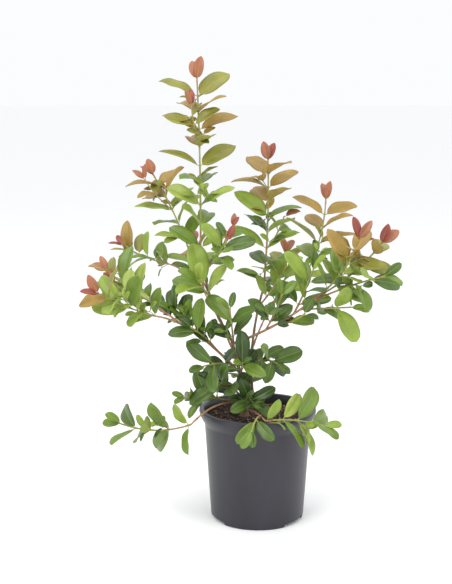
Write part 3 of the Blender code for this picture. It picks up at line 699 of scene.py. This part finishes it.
def frames(stem, runs, first_axis):
    """Steps along a stem: the share, the place and two directions square to it."""
    side = square_to(RIGHT, stem.lead)
    for k in range(runs + 1):
        t = k / runs
        axis = first_axis if k == 0 else stem.heading(t)
        side = square_to(side, axis)
        yield t, stem.place(t), side, axis.cross(side)


def leaf_mesh(leaf, extra=0.0, root_at=0.0):
    """A keeled, bent-back blade on its stalk: rings of two edges and a keel, then a tip."""
    across = leaf.along.cross(leaf.face)
    stations = [(root_at, STALK_WIDTH * MM / leaf.width, STALK_DEPTH / BLADE_DEPTH)]
    stations += BLADE_STATIONS
    points = []
    for share, wide, deep in stations:
        centre, rise = leaf_midrib(leaf, share)
        edge = across * (0.5 * leaf.width * wide + extra)
        top = rise * (BLADE_ABOVE * BLADE_DEPTH * MM * deep + extra)
        keel = rise * (BLADE_BELOW * BLADE_DEPTH * MM * deep + extra)
        points += [centre + edge + top, centre - edge + top, centre - keel]
    points.append(leaf_midrib(leaf, 1.0)[0] + leaf.along * extra)
    faces = [(0, 1, 2)]
    for ring in range(len(stations) - 1):
        for j in range(3):
            a = 3 * ring + j
            b = 3 * ring + (j + 1) % 3
            faces += [(a, a + 3, b), (b, a + 3, b + 3)]
    tip = len(points) - 1
    return points, faces + fan(tip - 3, tip, 3)


def leaf_midrib(leaf, share):
    """A place along the leaf's bent-back midrib, and the way its upper face looks."""
    angle = leaf.curl * share
    reach = leaf.along * sin(angle) - leaf.face * (1.0 - cos(angle))
    rise = leaf.face * cos(angle) + leaf.along * sin(angle)
    return leaf.root + reach * (leaf.length / leaf.curl), rise


def wall_radius(height):
    """Outside radius of the straight wall."""
    return 0.5 * BASE_DIAMETER + WALL_FLARE * height


def pot_room():
    """The room that pot and soil take up, with a little to spare."""
    rim = 0.5 * RIM_DIAMETER + POT_ROOM
    mouth = 0.5 * RIM_DIAMETER - LIP_WIDTH - MOUTH_ROOM
    foot = POT_HEIGHT - COLLAR_DEPTH
    top = POT_HEIGHT + POT_ROOM
    profile = [(0.5 * BASE_DIAMETER + POT_ROOM, -POT_ROOM), (wall_radius(foot) + POT_ROOM, foot),
               (rim, POT_HEIGHT - COLLAR_ROOM_FROM * COLLAR_DEPTH), (rim, top), (mouth, top),
               (mouth, SOIL_LEVEL + SOIL_BUMP + POT_ROOM)]
    return turned_points(profile, POT_SIDES), closed_tube(POT_SIDES, len(profile))


def soil_height(x, y):
    """Gently uneven ground, level round the foot of the trunk."""
    away = hypot(x - TRUNK_FOOT[0], y - TRUNK_FOOT[1])
    swell = sin(WAVE_X[0] * x + WAVE_X[1]) * cos(WAVE_Y[0] * y + WAVE_Y[1])
    swell += SLANT_WAVE * sin(SLANT[0] * x - SLANT[1] * y)
    rise = min(1.0, max(0.0, away / FLAT_ROUND_FOOT - 1.0))
    return SOIL_LEVEL + SOIL_BUMP * rise * swell / (1.0 + SLANT_WAVE)


def flare(place):
    """How much the trunk widens towards the soil."""
    above = place.z / MM - SOIL_LEVEL
    return 1.0 + (ROOT_FLARE - 1.0) * max(0.0, 1.0 - above / FLARE_HEIGHT) ** 2


# Sprouts, finer than the solids carry


def grow_sprouts(plant):
    """Sprouts out of some leaf axils, each with its leaves."""
    sprouts = []
    for shoot in SHOOTS:
        rng = random.Random(SPROUT_SEED + shoot.seed)
        stem = plant["stems"][shoot.name]
        axils = pair_places(shoot.pairs, shoot.first)[:-SPROUT_FREE_PAIRS]
        for k, (_, t) in enumerate(axils):
            side = sideways(stem, t, shoot.turn + QUARTER * k)
            for sense in (1.0, -1.0):
                if rng.random() < SPROUT_SHARE:
                    sprouts.append(grow_sprout(stem, t, side * sense, shoot, rng))
    return sprouts


def grow_sprout(stem, t, side, shoot, rng):
    """A short twig close along its stem, with one small pair or two."""
    out = side * rng.uniform(*SPROUT_OUT)
    aim = (stem.heading(t) * SPROUT_ALONG + out + LIGHT * SPROUT_TO_LIGHT).normalized()
    length = rng.uniform(*SPROUT_LENGTH) * MM
    twig = twig_towards(stem.place(t), aim, length, side, SPROUT_BOW, SPROUT_THICK)
    pairs = [(1.0, 0.0)]
    if length > SPROUT_TWO_PAIRS * MM:
        pairs.append((SPROUT_LOW_PAIR_AT, QUARTER))
    leaves = []
    for at, turn in pairs:
        across = sideways(twig, at, shoot.turn + turn + either_way(rng, SPROUT_TURN_VARIES))
        for sense in (1.0, -1.0):
            leaf = make_leaf(twig, at, across * sense, SPROUT_STAGE, shoot, rng)
            small = scaled(leaf, rng.uniform(*SPROUT_LEAF))._replace(age=0.0)
            leaves.append(aged_by_place(small, stem, shoot))
    return twig, leaves


def aged_by_place(leaf, stem, shoot):
    """The leaf, at least as young as its place along a flushing shoot makes it."""
    if not shoot.flush:
        return leaf
    run = stem.place(1.0) - stem.place(0.0)
    share = (leaf.root - stem.place(0.0)).dot(run) / run.length_squared
    flushing = min(1.0, 1.0 - (1.0 - share) / shoot.flush)
    return leaf._replace(age=max(leaf.age, PLACE_AGE * flushing))


# Materials


def on_screen(red, green, blue):
    """The linear colour that looks like this on screen, 0 to 255."""
    linear = []
    for value in (red, green, blue):
        share = value / 255.0
        linear.append(share / 12.92 if share <= 0.04045 else ((share + 0.055) / 1.055) ** 2.4)
    return (*linear, 1.0)


def as_seen(stops):
    """Stops whose colours are given as they look on screen, made linear."""
    return [(place, on_screen(*colour)) for place, colour in stops]


def shade(colour, factor):
    return tuple(min(1.0, channel * factor) for channel in colour[:3]) + (1.0,)


def new_material(name, roughness):
    material = bpy.data.materials.new(name)
    material.use_nodes = True
    set_inputs(shader_of(material), {"Roughness": roughness})
    return material


def set_inputs(node, values):
    for name, value in values.items():
        node.inputs[name].default_value = value


def shader_of(material):
    return material.node_tree.nodes["Principled BSDF"]


def add_noise(material, grain):
    """Noise in the object's own space."""
    nodes = material.node_tree.nodes
    links = material.node_tree.links
    where = nodes.new("ShaderNodeTexCoord")
    mapping = nodes.new("ShaderNodeMapping")
    set_inputs(mapping, {"Scale": grain.stretch})
    texture = nodes.new("ShaderNodeTexNoise")
    set_inputs(texture, {"Scale": grain.scale, "Detail": grain.detail})
    links.new(where.outputs["Object"], mapping.inputs["Vector"])
    links.new(mapping.outputs["Vector"], texture.inputs["Vector"])
    return texture


def colour_by_noise(material, texture, stops):
    """Base colour that runs through the stops as the noise rises."""
    ramp = material.node_tree.nodes.new("ShaderNodeValToRGB")
    elements = ramp.color_ramp.elements
    while len(elements) < len(stops):
        elements.new(0.5)
    for element, (place, colour) in zip(elements, stops):
        element.position = place
        element.color = colour
    material.node_tree.links.new(texture.outputs["Fac"], ramp.inputs["Fac"])
    material.node_tree.links.new(ramp.outputs["Color"], shader_of(material).inputs["Base Color"])


def bump_by_noise(material, texture, bump):
    node = material.node_tree.nodes.new("ShaderNodeBump")
    set_inputs(node, {"Distance": bump.height, "Strength": bump.strength})
    material.node_tree.links.new(texture.outputs["Fac"], node.inputs["Height"])
    material.node_tree.links.new(node.outputs["Normal"], shader_of(material).inputs["Normal"])


def grained(name, roughness, tint, stops, dents, bump):
    """A material coloured by one noise and bumped by another."""
    material = new_material(name, roughness)
    colour_by_noise(material, add_noise(material, tint), stops)
    bump_by_noise(material, add_noise(material, dents), bump)
    return material


def leaf_material(name, colour, roughness):
    """Living leaf: its colour drifts a little, with fine dimples and a waxy gloss."""
    linear = on_screen(*colour)
    stops = [(place, shade(linear, factor)) for place, factor in LEAF_SHADES]
    material = grained(name, roughness, LEAF_DRIFT, stops, LEAF_DIMPLES, LEAF_BUMP)
    set_inputs(shader_of(material), {"Specular IOR Level": LEAF_SPECULAR})
    return material


def bark_material(name, dark, light, roughness):
    """Thin flaking bark: long streaks up the stem, lighter where it has peeled."""
    stops = as_seen(zip(BARK_STOPS, (dark, light)))
    return grained(name, roughness, BARK_STREAKS, stops, BARK_FLAKES, BARK_BUMP)


def repaint(node, material):
    """Gives a carried-over solid one material."""
    node.data.materials.clear()
    node.data.materials.append(material)


# Pieces


def put_in_scene(name, data):
    thing = bpy.data.objects.new(name, data)
    bpy.context.scene.collection.objects.link(thing)
    return thing


def add_piece(name, parts, materials, replaced=(), smooth=True):
    """One piece that rides on the part."""
    points, faces, slots = parts
    mesh = bpy.data.meshes.new(name)
    mesh.from_pydata(points, [], faces)
    for material in materials:
        mesh.materials.append(material)
    if slots:
        mesh.polygons.foreach_set("material_index", slots)
    mesh.polygons.foreach_set("use_smooth", [smooth] * len(faces))
    mesh.update()
    piece = put_in_scene(name, mesh)
    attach(piece, "root")
    if replaced:
        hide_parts(*replaced)
    return piece


# Pot, soil and litter


def dress_pot(pot):
    """Black nursery plastic: satin, a little blue, scuffed and dusty in soft streaks."""
    plastic = grained("pot_black_plastic", POT_ROUGH, POT_CLOUDS, as_seen(POT_STOPS), POT_SPECKS,
                      POT_BUMP)
    repaint(pot, plastic)
    profile = skin_profile()
    parts = (turned_points(profile, SKIN_SIDES), bands(0, SKIN_SIDES, len(profile)), [])
    skin = add_piece("pot_skin", parts, [plastic])
    skin.data.set_sharp_from_angle(angle=radians(SKIN_SHARP))


def skin_profile():
    """Half section of a thin skin over the pot's wall, collar, lip and upper bore."""
    low = NOTCH_HEIGHT + SKIN_ABOVE_NOTCH
    foot = POT_HEIGHT - COLLAR_DEPTH
    start = wall_radius(foot)
    step = 0.5 * RIM_DIAMETER - start
    profile = [(wall_radius(low) - SKIN_TUCK, low), (wall_radius(low) + SKIN, low)]
    for height in (low + SKIN_ABOVE_NOTCH, *SKIN_STATIONS, foot - SKIN_BELOW_COLLAR):
        profile.append((wall_radius(height) + SKIN, height))
    for up, out in COLLAR_SWING:
        over_rim = SKIN if up == 1.0 else 0.0
        profile.append((start + step * out + SKIN, foot + COLLAR_DEPTH * up + over_rim))
    lip = 0.5 * RIM_DIAMETER - LIP_WIDTH
    profile += [(lip, POT_HEIGHT + SKIN), (lip - SKIN_LIP_TUCK, POT_HEIGHT - LIP_BEVEL)]
    for height, tuck in ((POT_HEIGHT - LIP_DEPTH, SKIN_BORE_TUCK),
                         (SOIL_LEVEL - SKIN_BELOW_SOIL, SKIN_SOIL_TUCK)):
        profile.append((wall_radius(height) - POT_WALL - tuck, height))
    return profile


def dress_soil(soil):
    """The packed soil takes the mix's material, and a crumbly top lies over it."""
    mix = grained("potting_mix", SOIL_ROUGH, SOIL_CRUMBS, as_seen(SOIL_STOPS), SOIL_LUMPS, CRUMB_BUMP)
    repaint(soil, mix)
    rings, spokes = SOIL_GRID
    edge = wall_radius(SOIL_LEVEL) - POT_WALL - SOIL_INSET
    points = [crumb_point(0.0, 0.0)]
    for ring in range(1, rings + 1):
        radius = edge * ring / rings
        for angle in around(spokes, 0.5 * (ring % 2)):
            points.append(crumb_point(radius * cos(angle), radius * sin(angle)))
    faces = [(0, 1 + k, 1 + (k + 1) % spokes) for k in range(spokes)]
    faces += turned_over(bands(1, spokes, rings))
    add_piece("soil_top", (points, faces, []), [mix])


def crumb_point(x, y):
    """A point of the crumbly surface, always a little above the packed soil."""
    rough = sum(share * noise.noise(Vector((x * fineness, y * fineness, layer)))
                for share, fineness, layer in CRUMB_NOISE)
    height = soil_height(x, y) + CRUMB_BASE + CRUMB_RELIEF * max(0.0, rough + CRUMB_LEVEL)
    return Vector((x, y, height)) * MM


def make_litter():
    """Bark bits, chips and pale granules in the mix."""
    rng = random.Random(BIT_SEED)
    mesh = ([], [], [])
    edge = wall_radius(SOIL_LEVEL) - POT_WALL - BIT_INSET
    for _ in range(BITS):
        radius = edge * sqrt(rng.random())
        angle = rng.uniform(0.0, 2.0 * pi)
        x = radius * cos(angle)
        y = radius * sin(angle)
        shares = [kind.share for kind in BIT_KINDS]
        shares[HEAP_KIND] += HEAP_SHARE * near_bark_heap(x, y)
        slot = rng.choices(range(len(BIT_KINDS)), shares)[0]
        size = rng.uniform(*BIT_SIZE) * BIT_KINDS[slot].size
        add_chip(mesh, crumb_point(x, y) + UP * BIT_LIFT * size * MM, size * MM, slot, rng)
    materials = [bark_material(kind.name, kind.dark, kind.light, kind.roughness) for kind in BIT_KINDS]
    add_piece("soil_bits", mesh, materials, smooth=False)


def near_bark_heap(x, y):
    """How strongly a place belongs to the heap of pinkish bark."""
    away = (x - HEAP_CENTRE[0]) ** 2 + (y - HEAP_CENTRE[1]) ** 2
    return exp(-away / (2.0 * HEAP_REACH ** 2))


def add_chip(mesh, centre, size, slot, rng):
    """A flat lump of eight faces, turned any way."""
    points, faces, slots = mesh
    turn = Matrix.Rotation(rng.uniform(0, FULL_TURN), 3, "Z")
    turn = turn @ Matrix.Rotation(either_way(rng, BIT_TILT), 3, "X")
    reach = Vector([size * rng.uniform(*span) for span in BIT_SPANS])
    first = len(points)
    for way in ((1, 0, 0), (0, 1, 0), (-1, 0, 0), (0, -1, 0), (0, 0, 1), (0, 0, -1)):
        jitter = Vector([either_way(rng, most) for most in BIT_JITTER])
        local = Vector([(way[k] + jitter[k]) * reach[k] for k in range(3)])
        points.append(centre + turn @ local)
    for k in range(4):
        following = (k + 1) % 4
        faces.append((first + k, first + following, first + 4))
        faces.append((first + following, first + k, first + 5))
        slots += [slot, slot]


# Stems


def stem_length(stem):
    return (stem.place(1.0) - stem.place(0.0)).length


def node_swelling(stem, nodes, t):
    """How much thicker a stem is near the nodes that bear its leaves."""
    length = stem_length(stem) / MM
    return sum(NODE_SWELL * exp(-((t - node) * length / NODE_REACH) ** 2) for node in nodes)


def bark_at(t, changes):
    """Which of its barks a stem wears there: the next begins at each change."""
    return sum(t >= change for change in changes)


def add_stem(mesh, stem, sides, changes=(), nodes=(), relief=0.0, flared=False):
    """A round stem with swollen nodes and uneven bark, added to the mesh."""
    points, faces, slots = mesh
    first = len(points)
    runs = max(FEWEST_RUNS, int(stem_length(stem) / (STEM_STEP * MM)))
    for t, centre, side, other in frames(stem, runs, stem.heading(0.0)):
        radius = radius_at(stem, t) + node_swelling(stem, nodes, t) * MM
        if flared:
            radius *= flare(centre)
        for angle in around(sides):
            out = side * cos(angle) + other * sin(angle)
            points.append(uneven_spot(centre + out * radius, out, relief))
    faces += bands(first, sides, runs + 1)
    slots += [bark_at(k / runs, changes) for k in range(runs) for _ in range(sides)]
    points.append(stem.place(1.0) + stem.heading(1.0) * radius_at(stem, 1.0) * STEM_TIP)
    faces += fan(first + runs * sides, len(points) - 1, sides)
    slots += [bark_at(1.0, changes)] * sides


def uneven_spot(spot, out, relief):
    """A spot of bark, moved out or in a little, in upright ridges."""
    grain = Vector([spot[k] * RELIEF_GRAIN[k] for k in range(3)])
    return spot + out * (noise.noise(grain) * relief * MM)


def make_bark(plant):
    """Trunk and boughs as one barked mesh."""
    mesh = ([], [], [])
    for name, limb in plant["limbs"].items():
        changes = () if name in OLD_WOOD else (0.0,)
        add_stem(mesh, limb, BARK_SIDES, changes, leaf_scars(name), BARK_RELIEF, name == "trunk")
    replaced = ["trunk"] + ["bough_" + limb.name for limb in LIMBS]
    add_piece("bark", mesh, [bark_material(*bark) for bark in BARKS], replaced)


def leaf_scars(name):
    """The old leaf scars along a limb, fewer on the short ones."""
    count = SHORT_SCARS if name in SHORT_WOOD else LIMB_SCARS
    return [(k + 0.5) / count for k in range(count)]


def make_shoot_stems(plant):
    """The stems of shoots, side twigs and sprouts, from brown through green to red."""
    mesh = ([], [], [])
    for shoot in SHOOTS:
        nodes = [t for _, t in pair_places(shoot.pairs, shoot.first)]
        changes = (BROWN_UP_TO[shoot.tone], SHOOT_RED_FROM)
        add_stem(mesh, plant["stems"][shoot.name], SHOOT_SIDES, changes, nodes, SHOOT_RELIEF)
        for twig in plant["twigs"][shoot.name]:
            nodes = (SIDE_FIRST_PAIR, LAST_PAIR_AT)
            add_stem(mesh, twig, SHOOT_SIDES, (0.0, SIDE_RED_FROM), nodes, SIDE_RELIEF)
    for twig, _ in plant["sprouts"]:
        add_stem(mesh, twig, SPROUT_SIDES, (0.0,))
    add_piece("shoot_stems", mesh, [bark_material(*bark) for bark in STEM_BARKS])


# Leaves


def leaf_materials():
    """Every leaf and rib material, and the slot of each colour's upper face."""
    materials = []
    slot_of = {}
    for name, (upper, under) in LEAF_COLOURS.items():
        slot_of[name] = len(materials)
        gloss = GLOSSY_ROUGH if name in GLOSSY else YOUNG_ROUGH
        materials.append(leaf_material("leaf_" + name, upper, gloss))
        materials.append(leaf_material("leaf_" + name + "_under", under, UNDER_ROUGH))
    for name, colour in RIB_COLOURS.items():
        slot_of["rib_" + name] = len(materials)
        materials.append(leaf_material("rib_" + name, colour, RIB_ROUGH))
    return materials, slot_of


def leaf_colour(leaf, rng):
    """A colour drawn by the shoot's tone, or by the leaf's age when young."""
    mix = next(mix for oldest, mix in AGE_MIX if leaf.age < oldest)
    return rng.choice(mix or TONE_MIX[leaf.tone])


def add_leaf(mesh, leaf, slot_of, rng):
    """A leaf with its stalk, pale midrib and paler underside."""
    points, faces, slots = mesh
    top = slot_of[leaf_colour(leaf, rng)]
    rib = slot_of["rib_warm" if leaf.age > WARM_RIB_FROM else "rib_green"]
    stalk = min(STALK_LENGTH * MM / leaf.length, STALK_LONGEST)
    blade, blade_slots = blade_faces(len(points), top, rib)
    points += blade_points(leaf, stalk, rng)
    faces += blade
    slots += blade_slots
    add_stalk(mesh, leaf, stalk, rib)


def blade_points(leaf, stalk, rng):
    """The blade's upper face row by row, then its underside."""
    fold = radians(BLADE_FOLD * rng.uniform(*FOLD_VARIES))
    phase = rng.uniform(0.0, FULL_TURN)
    waves = rng.uniform(*BLADE_WAVES)
    across = leaf.along.cross(leaf.face)
    upper = []
    under = []
    for row in range(BLADE_ROWS):
        share = (row + ROW_START) / (BLADE_ROWS - 1 + ROW_ENDS)
        centre, rise = leaf_midrib(leaf, stalk + (1.0 - stalk) * share)
        half = max(0.5 * leaf.width * blade_half_width(share, leaf.age > 0.0), LEAST_HALF * MM)
        ripple = phase + waves * FULL_TURN * share
        for column in BLADE_COLUMNS:
            if column in RIB_SIDES:
                offset = RIB_SIDES[column] * rib_half_width(share, half)
                height = -RIB_SUNK * MM
            else:
                offset = column * half
                height = blade_height(leaf, column, half, fold, ripple)
            upper.append(centre + across * offset * cos(fold) + rise * height)
            under.append(upper[-1] - rise * LEAF_THICK * MM)
    return upper + under


def blade_half_width(share, young):
    """Half width of the blade, as a share of the widest."""
    foot, tip, widest = YOUNG_OUTLINE if young else GROWN_OUTLINE
    return share ** foot * (1.0 - share) ** tip / widest


def rib_half_width(share, half):
    """Half width of the midrib, narrower towards the tip."""
    return min(0.5 * RIB_WIDTH * MM * (1.0 - RIB_TAPER * share), RIB_WIDEST * half)


def blade_height(leaf, column, half, fold, ripple):
    """How high a column of the folded, domed and wavy blade stands over the midrib."""
    reach = abs(column)
    lag = BLADE_WAVE_LAG if column > 0 else 0.0
    height = reach * half * sin(fold) + BLADE_DOME * half * sin(pi * reach)
    return height + BLADE_WAVE * leaf.length * reach ** 2 * sin(ripple + lag)


def blade_faces(first, top, rib):
    """The blade's faces above, below and along its edges, and their slots."""
    faces = []
    slots = []
    width = len(BLADE_COLUMNS)
    down = BLADE_ROWS * width
    for row in range(BLADE_ROWS - 1):
        left = first + row * width
        for k in range(width - 1):
            a = left + k
            b = a + down
            middle = BLADE_COLUMNS[k] == "left rib"
            faces.append((a, a + 1, a + width + 1, a + width))
            slots.append(rib if middle else top)
            faces.append((b, b + width, b + width + 1, b + 1))
            slots.append(rib if middle else top + 1)
        edge = (left, left + width, left + width + down, left + down)
        faces.append(edge)
        faces += turned_over([tuple(point + width - 1 for point in edge)])
        slots += [top, top]
    return faces, slots


def add_stalk(mesh, leaf, stalk, slot):
    """The leaf's short round stalk, from inside the stem to the blade."""
    points, faces, slots = mesh
    first = len(points)
    across = leaf.along.cross(leaf.face)
    start, end = STALK_THICK
    for ring in range(STALK_RINGS):
        up = ring / (STALK_RINGS - 1)
        centre, rise = leaf_midrib(leaf, stalk * STALK_OVERLAP * up)
        radius = 0.5 * MM * (start + (end - start) * up)
        points += ring_points(centre - rise * STALK_DROP * MM, across, rise, radius, STALK_SIDES)
    faces += turned_over(bands(first, STALK_SIDES, STALK_RINGS))
    slots += [slot] * (STALK_SIDES * (STALK_RINGS - 1))


def add_bud(mesh, place, heading, slot, scale):
    """A small pointed bud."""
    points, faces, slots = mesh
    first = len(points)
    side = square_to(RIGHT, heading)
    other = heading.cross(side)
    for share, wide in BUD_RINGS:
        centre = place + heading * BUD_LENGTH * share * scale * MM
        points += ring_points(centre, side, other, 0.5 * BUD_THICK * wide * scale * MM, BUD_SIDES)
    points.append(place + heading * BUD_LENGTH * scale * MM)
    tip = len(points) - 1
    faces += bands(first, BUD_SIDES, len(BUD_RINGS))
    faces += fan(tip - BUD_SIDES, tip, BUD_SIDES)
    slots += [slot] * (BUD_SIDES * len(BUD_RINGS))


def make_leaves(plant):
    """Grown leaves with a bud in each axil, young leaves, and the sprouts' leaves."""
    materials, slot_of = leaf_materials()
    grown = ([], [], [])
    young = ([], [], [])
    for shoot in SHOOTS:
        rng = random.Random(LEAF_SEED + shoot.seed)
        stem = plant["stems"][shoot.name]
        for leaf in plant["leaves"][shoot.name]:
            leaf = aged_by_place(leaf, stem, shoot)
            add_leaf(young if leaf.age > 0.0 else grown, leaf, slot_of, rng)
            lean = (leaf.along + stem.heading(0.5)).normalized()
            axil = leaf.root + lean * AXIL_BUD_OUT * MM
            add_bud(grown, axil, lean, slot_of["bright"], AXIL_BUD)
        tip_slot = slot_of["red" if shoot.flush else "bright"]
        add_bud(young, stem.place(1.0), stem.heading(1.0), tip_slot, TIP_BUD)
    add_piece("leaves", grown, materials, ["foliage_" + shoot.name for shoot in SHOOTS])
    add_piece("young_leaves", young, materials)
    add_piece("sprout_leaves", sprout_mesh(plant, slot_of), materials)


def sprout_mesh(plant, slot_of):
    """The sprouts' small leaves, and a bud at the tip of each sprout."""
    mesh = ([], [], [])
    rng = random.Random(SPROUT_LEAF_SEED)
    for twig, leaves in plant["sprouts"]:
        for leaf in leaves:
            add_leaf(mesh, leaf, slot_of, rng)
        add_bud(mesh, twig.place(1.0), twig.heading(1.0), slot_of["bright"], SPROUT_BUD)
    return mesh


# Camera, floor and light


def make_camera():
    """The photograph's own view, turned a little to the left and down."""
    data = bpy.data.cameras.new("camera")
    data.sensor_fit = "HORIZONTAL"
    data.sensor_width = SENSOR_WIDTH
    data.lens = FOCAL_PIXELS / PICTURE_WIDTH * SENSOR_WIDTH
    data.clip_end = FAR_CLIP
    camera = put_in_scene("camera", data)
    camera.location = CAMERA_PLACE
    camera.rotation_euler = (radians(QUARTER - CAMERA_DOWN), 0.0, radians(CAMERA_LEFT))
    bpy.context.scene.camera = camera


def make_studio():
    """A wide white floor in white air, under broad soft lights."""
    white = new_material("studio_white", FLOOR_ROUGH)
    set_inputs(shader_of(white), {"Base Color": on_screen(*FLOOR_WHITE)})
    corners = ((-1, -1), (1, -1), (1, 1), (-1, 1))
    points = [Vector((FLOOR_REACH * x, FLOOR_REACH * y, -FLOOR_DROP)) for x, y in corners]
    mesh = bpy.data.meshes.new("studio")
    mesh.from_pydata(points, [], [(0, 1, 2, 3)])
    mesh.materials.append(white)
    studio = put_in_scene("studio", mesh)
    world = bpy.data.worlds.new("studio_air")
    world.use_nodes = True
    air = world.node_tree.nodes["Background"]
    set_inputs(air, {"Color": AIR_COLOUR})
    bpy.context.scene.world = world
    bpy.context.scene.view_settings.view_transform = "Standard"
    for light in LIGHTS:
        add_light(*light)


def add_light(name, place, size, power):
    """A square soft light that looks at the plant."""
    data = bpy.data.lights.new(name, "AREA")
    data.shape = "SQUARE"
    data.size = size
    data.energy = power
    light = put_in_scene(name, data)
    light.location = place
    light.rotation_euler = (LIGHT_AIM - Vector(place)).to_track_quat("-Z", "Y").to_euler()


main()
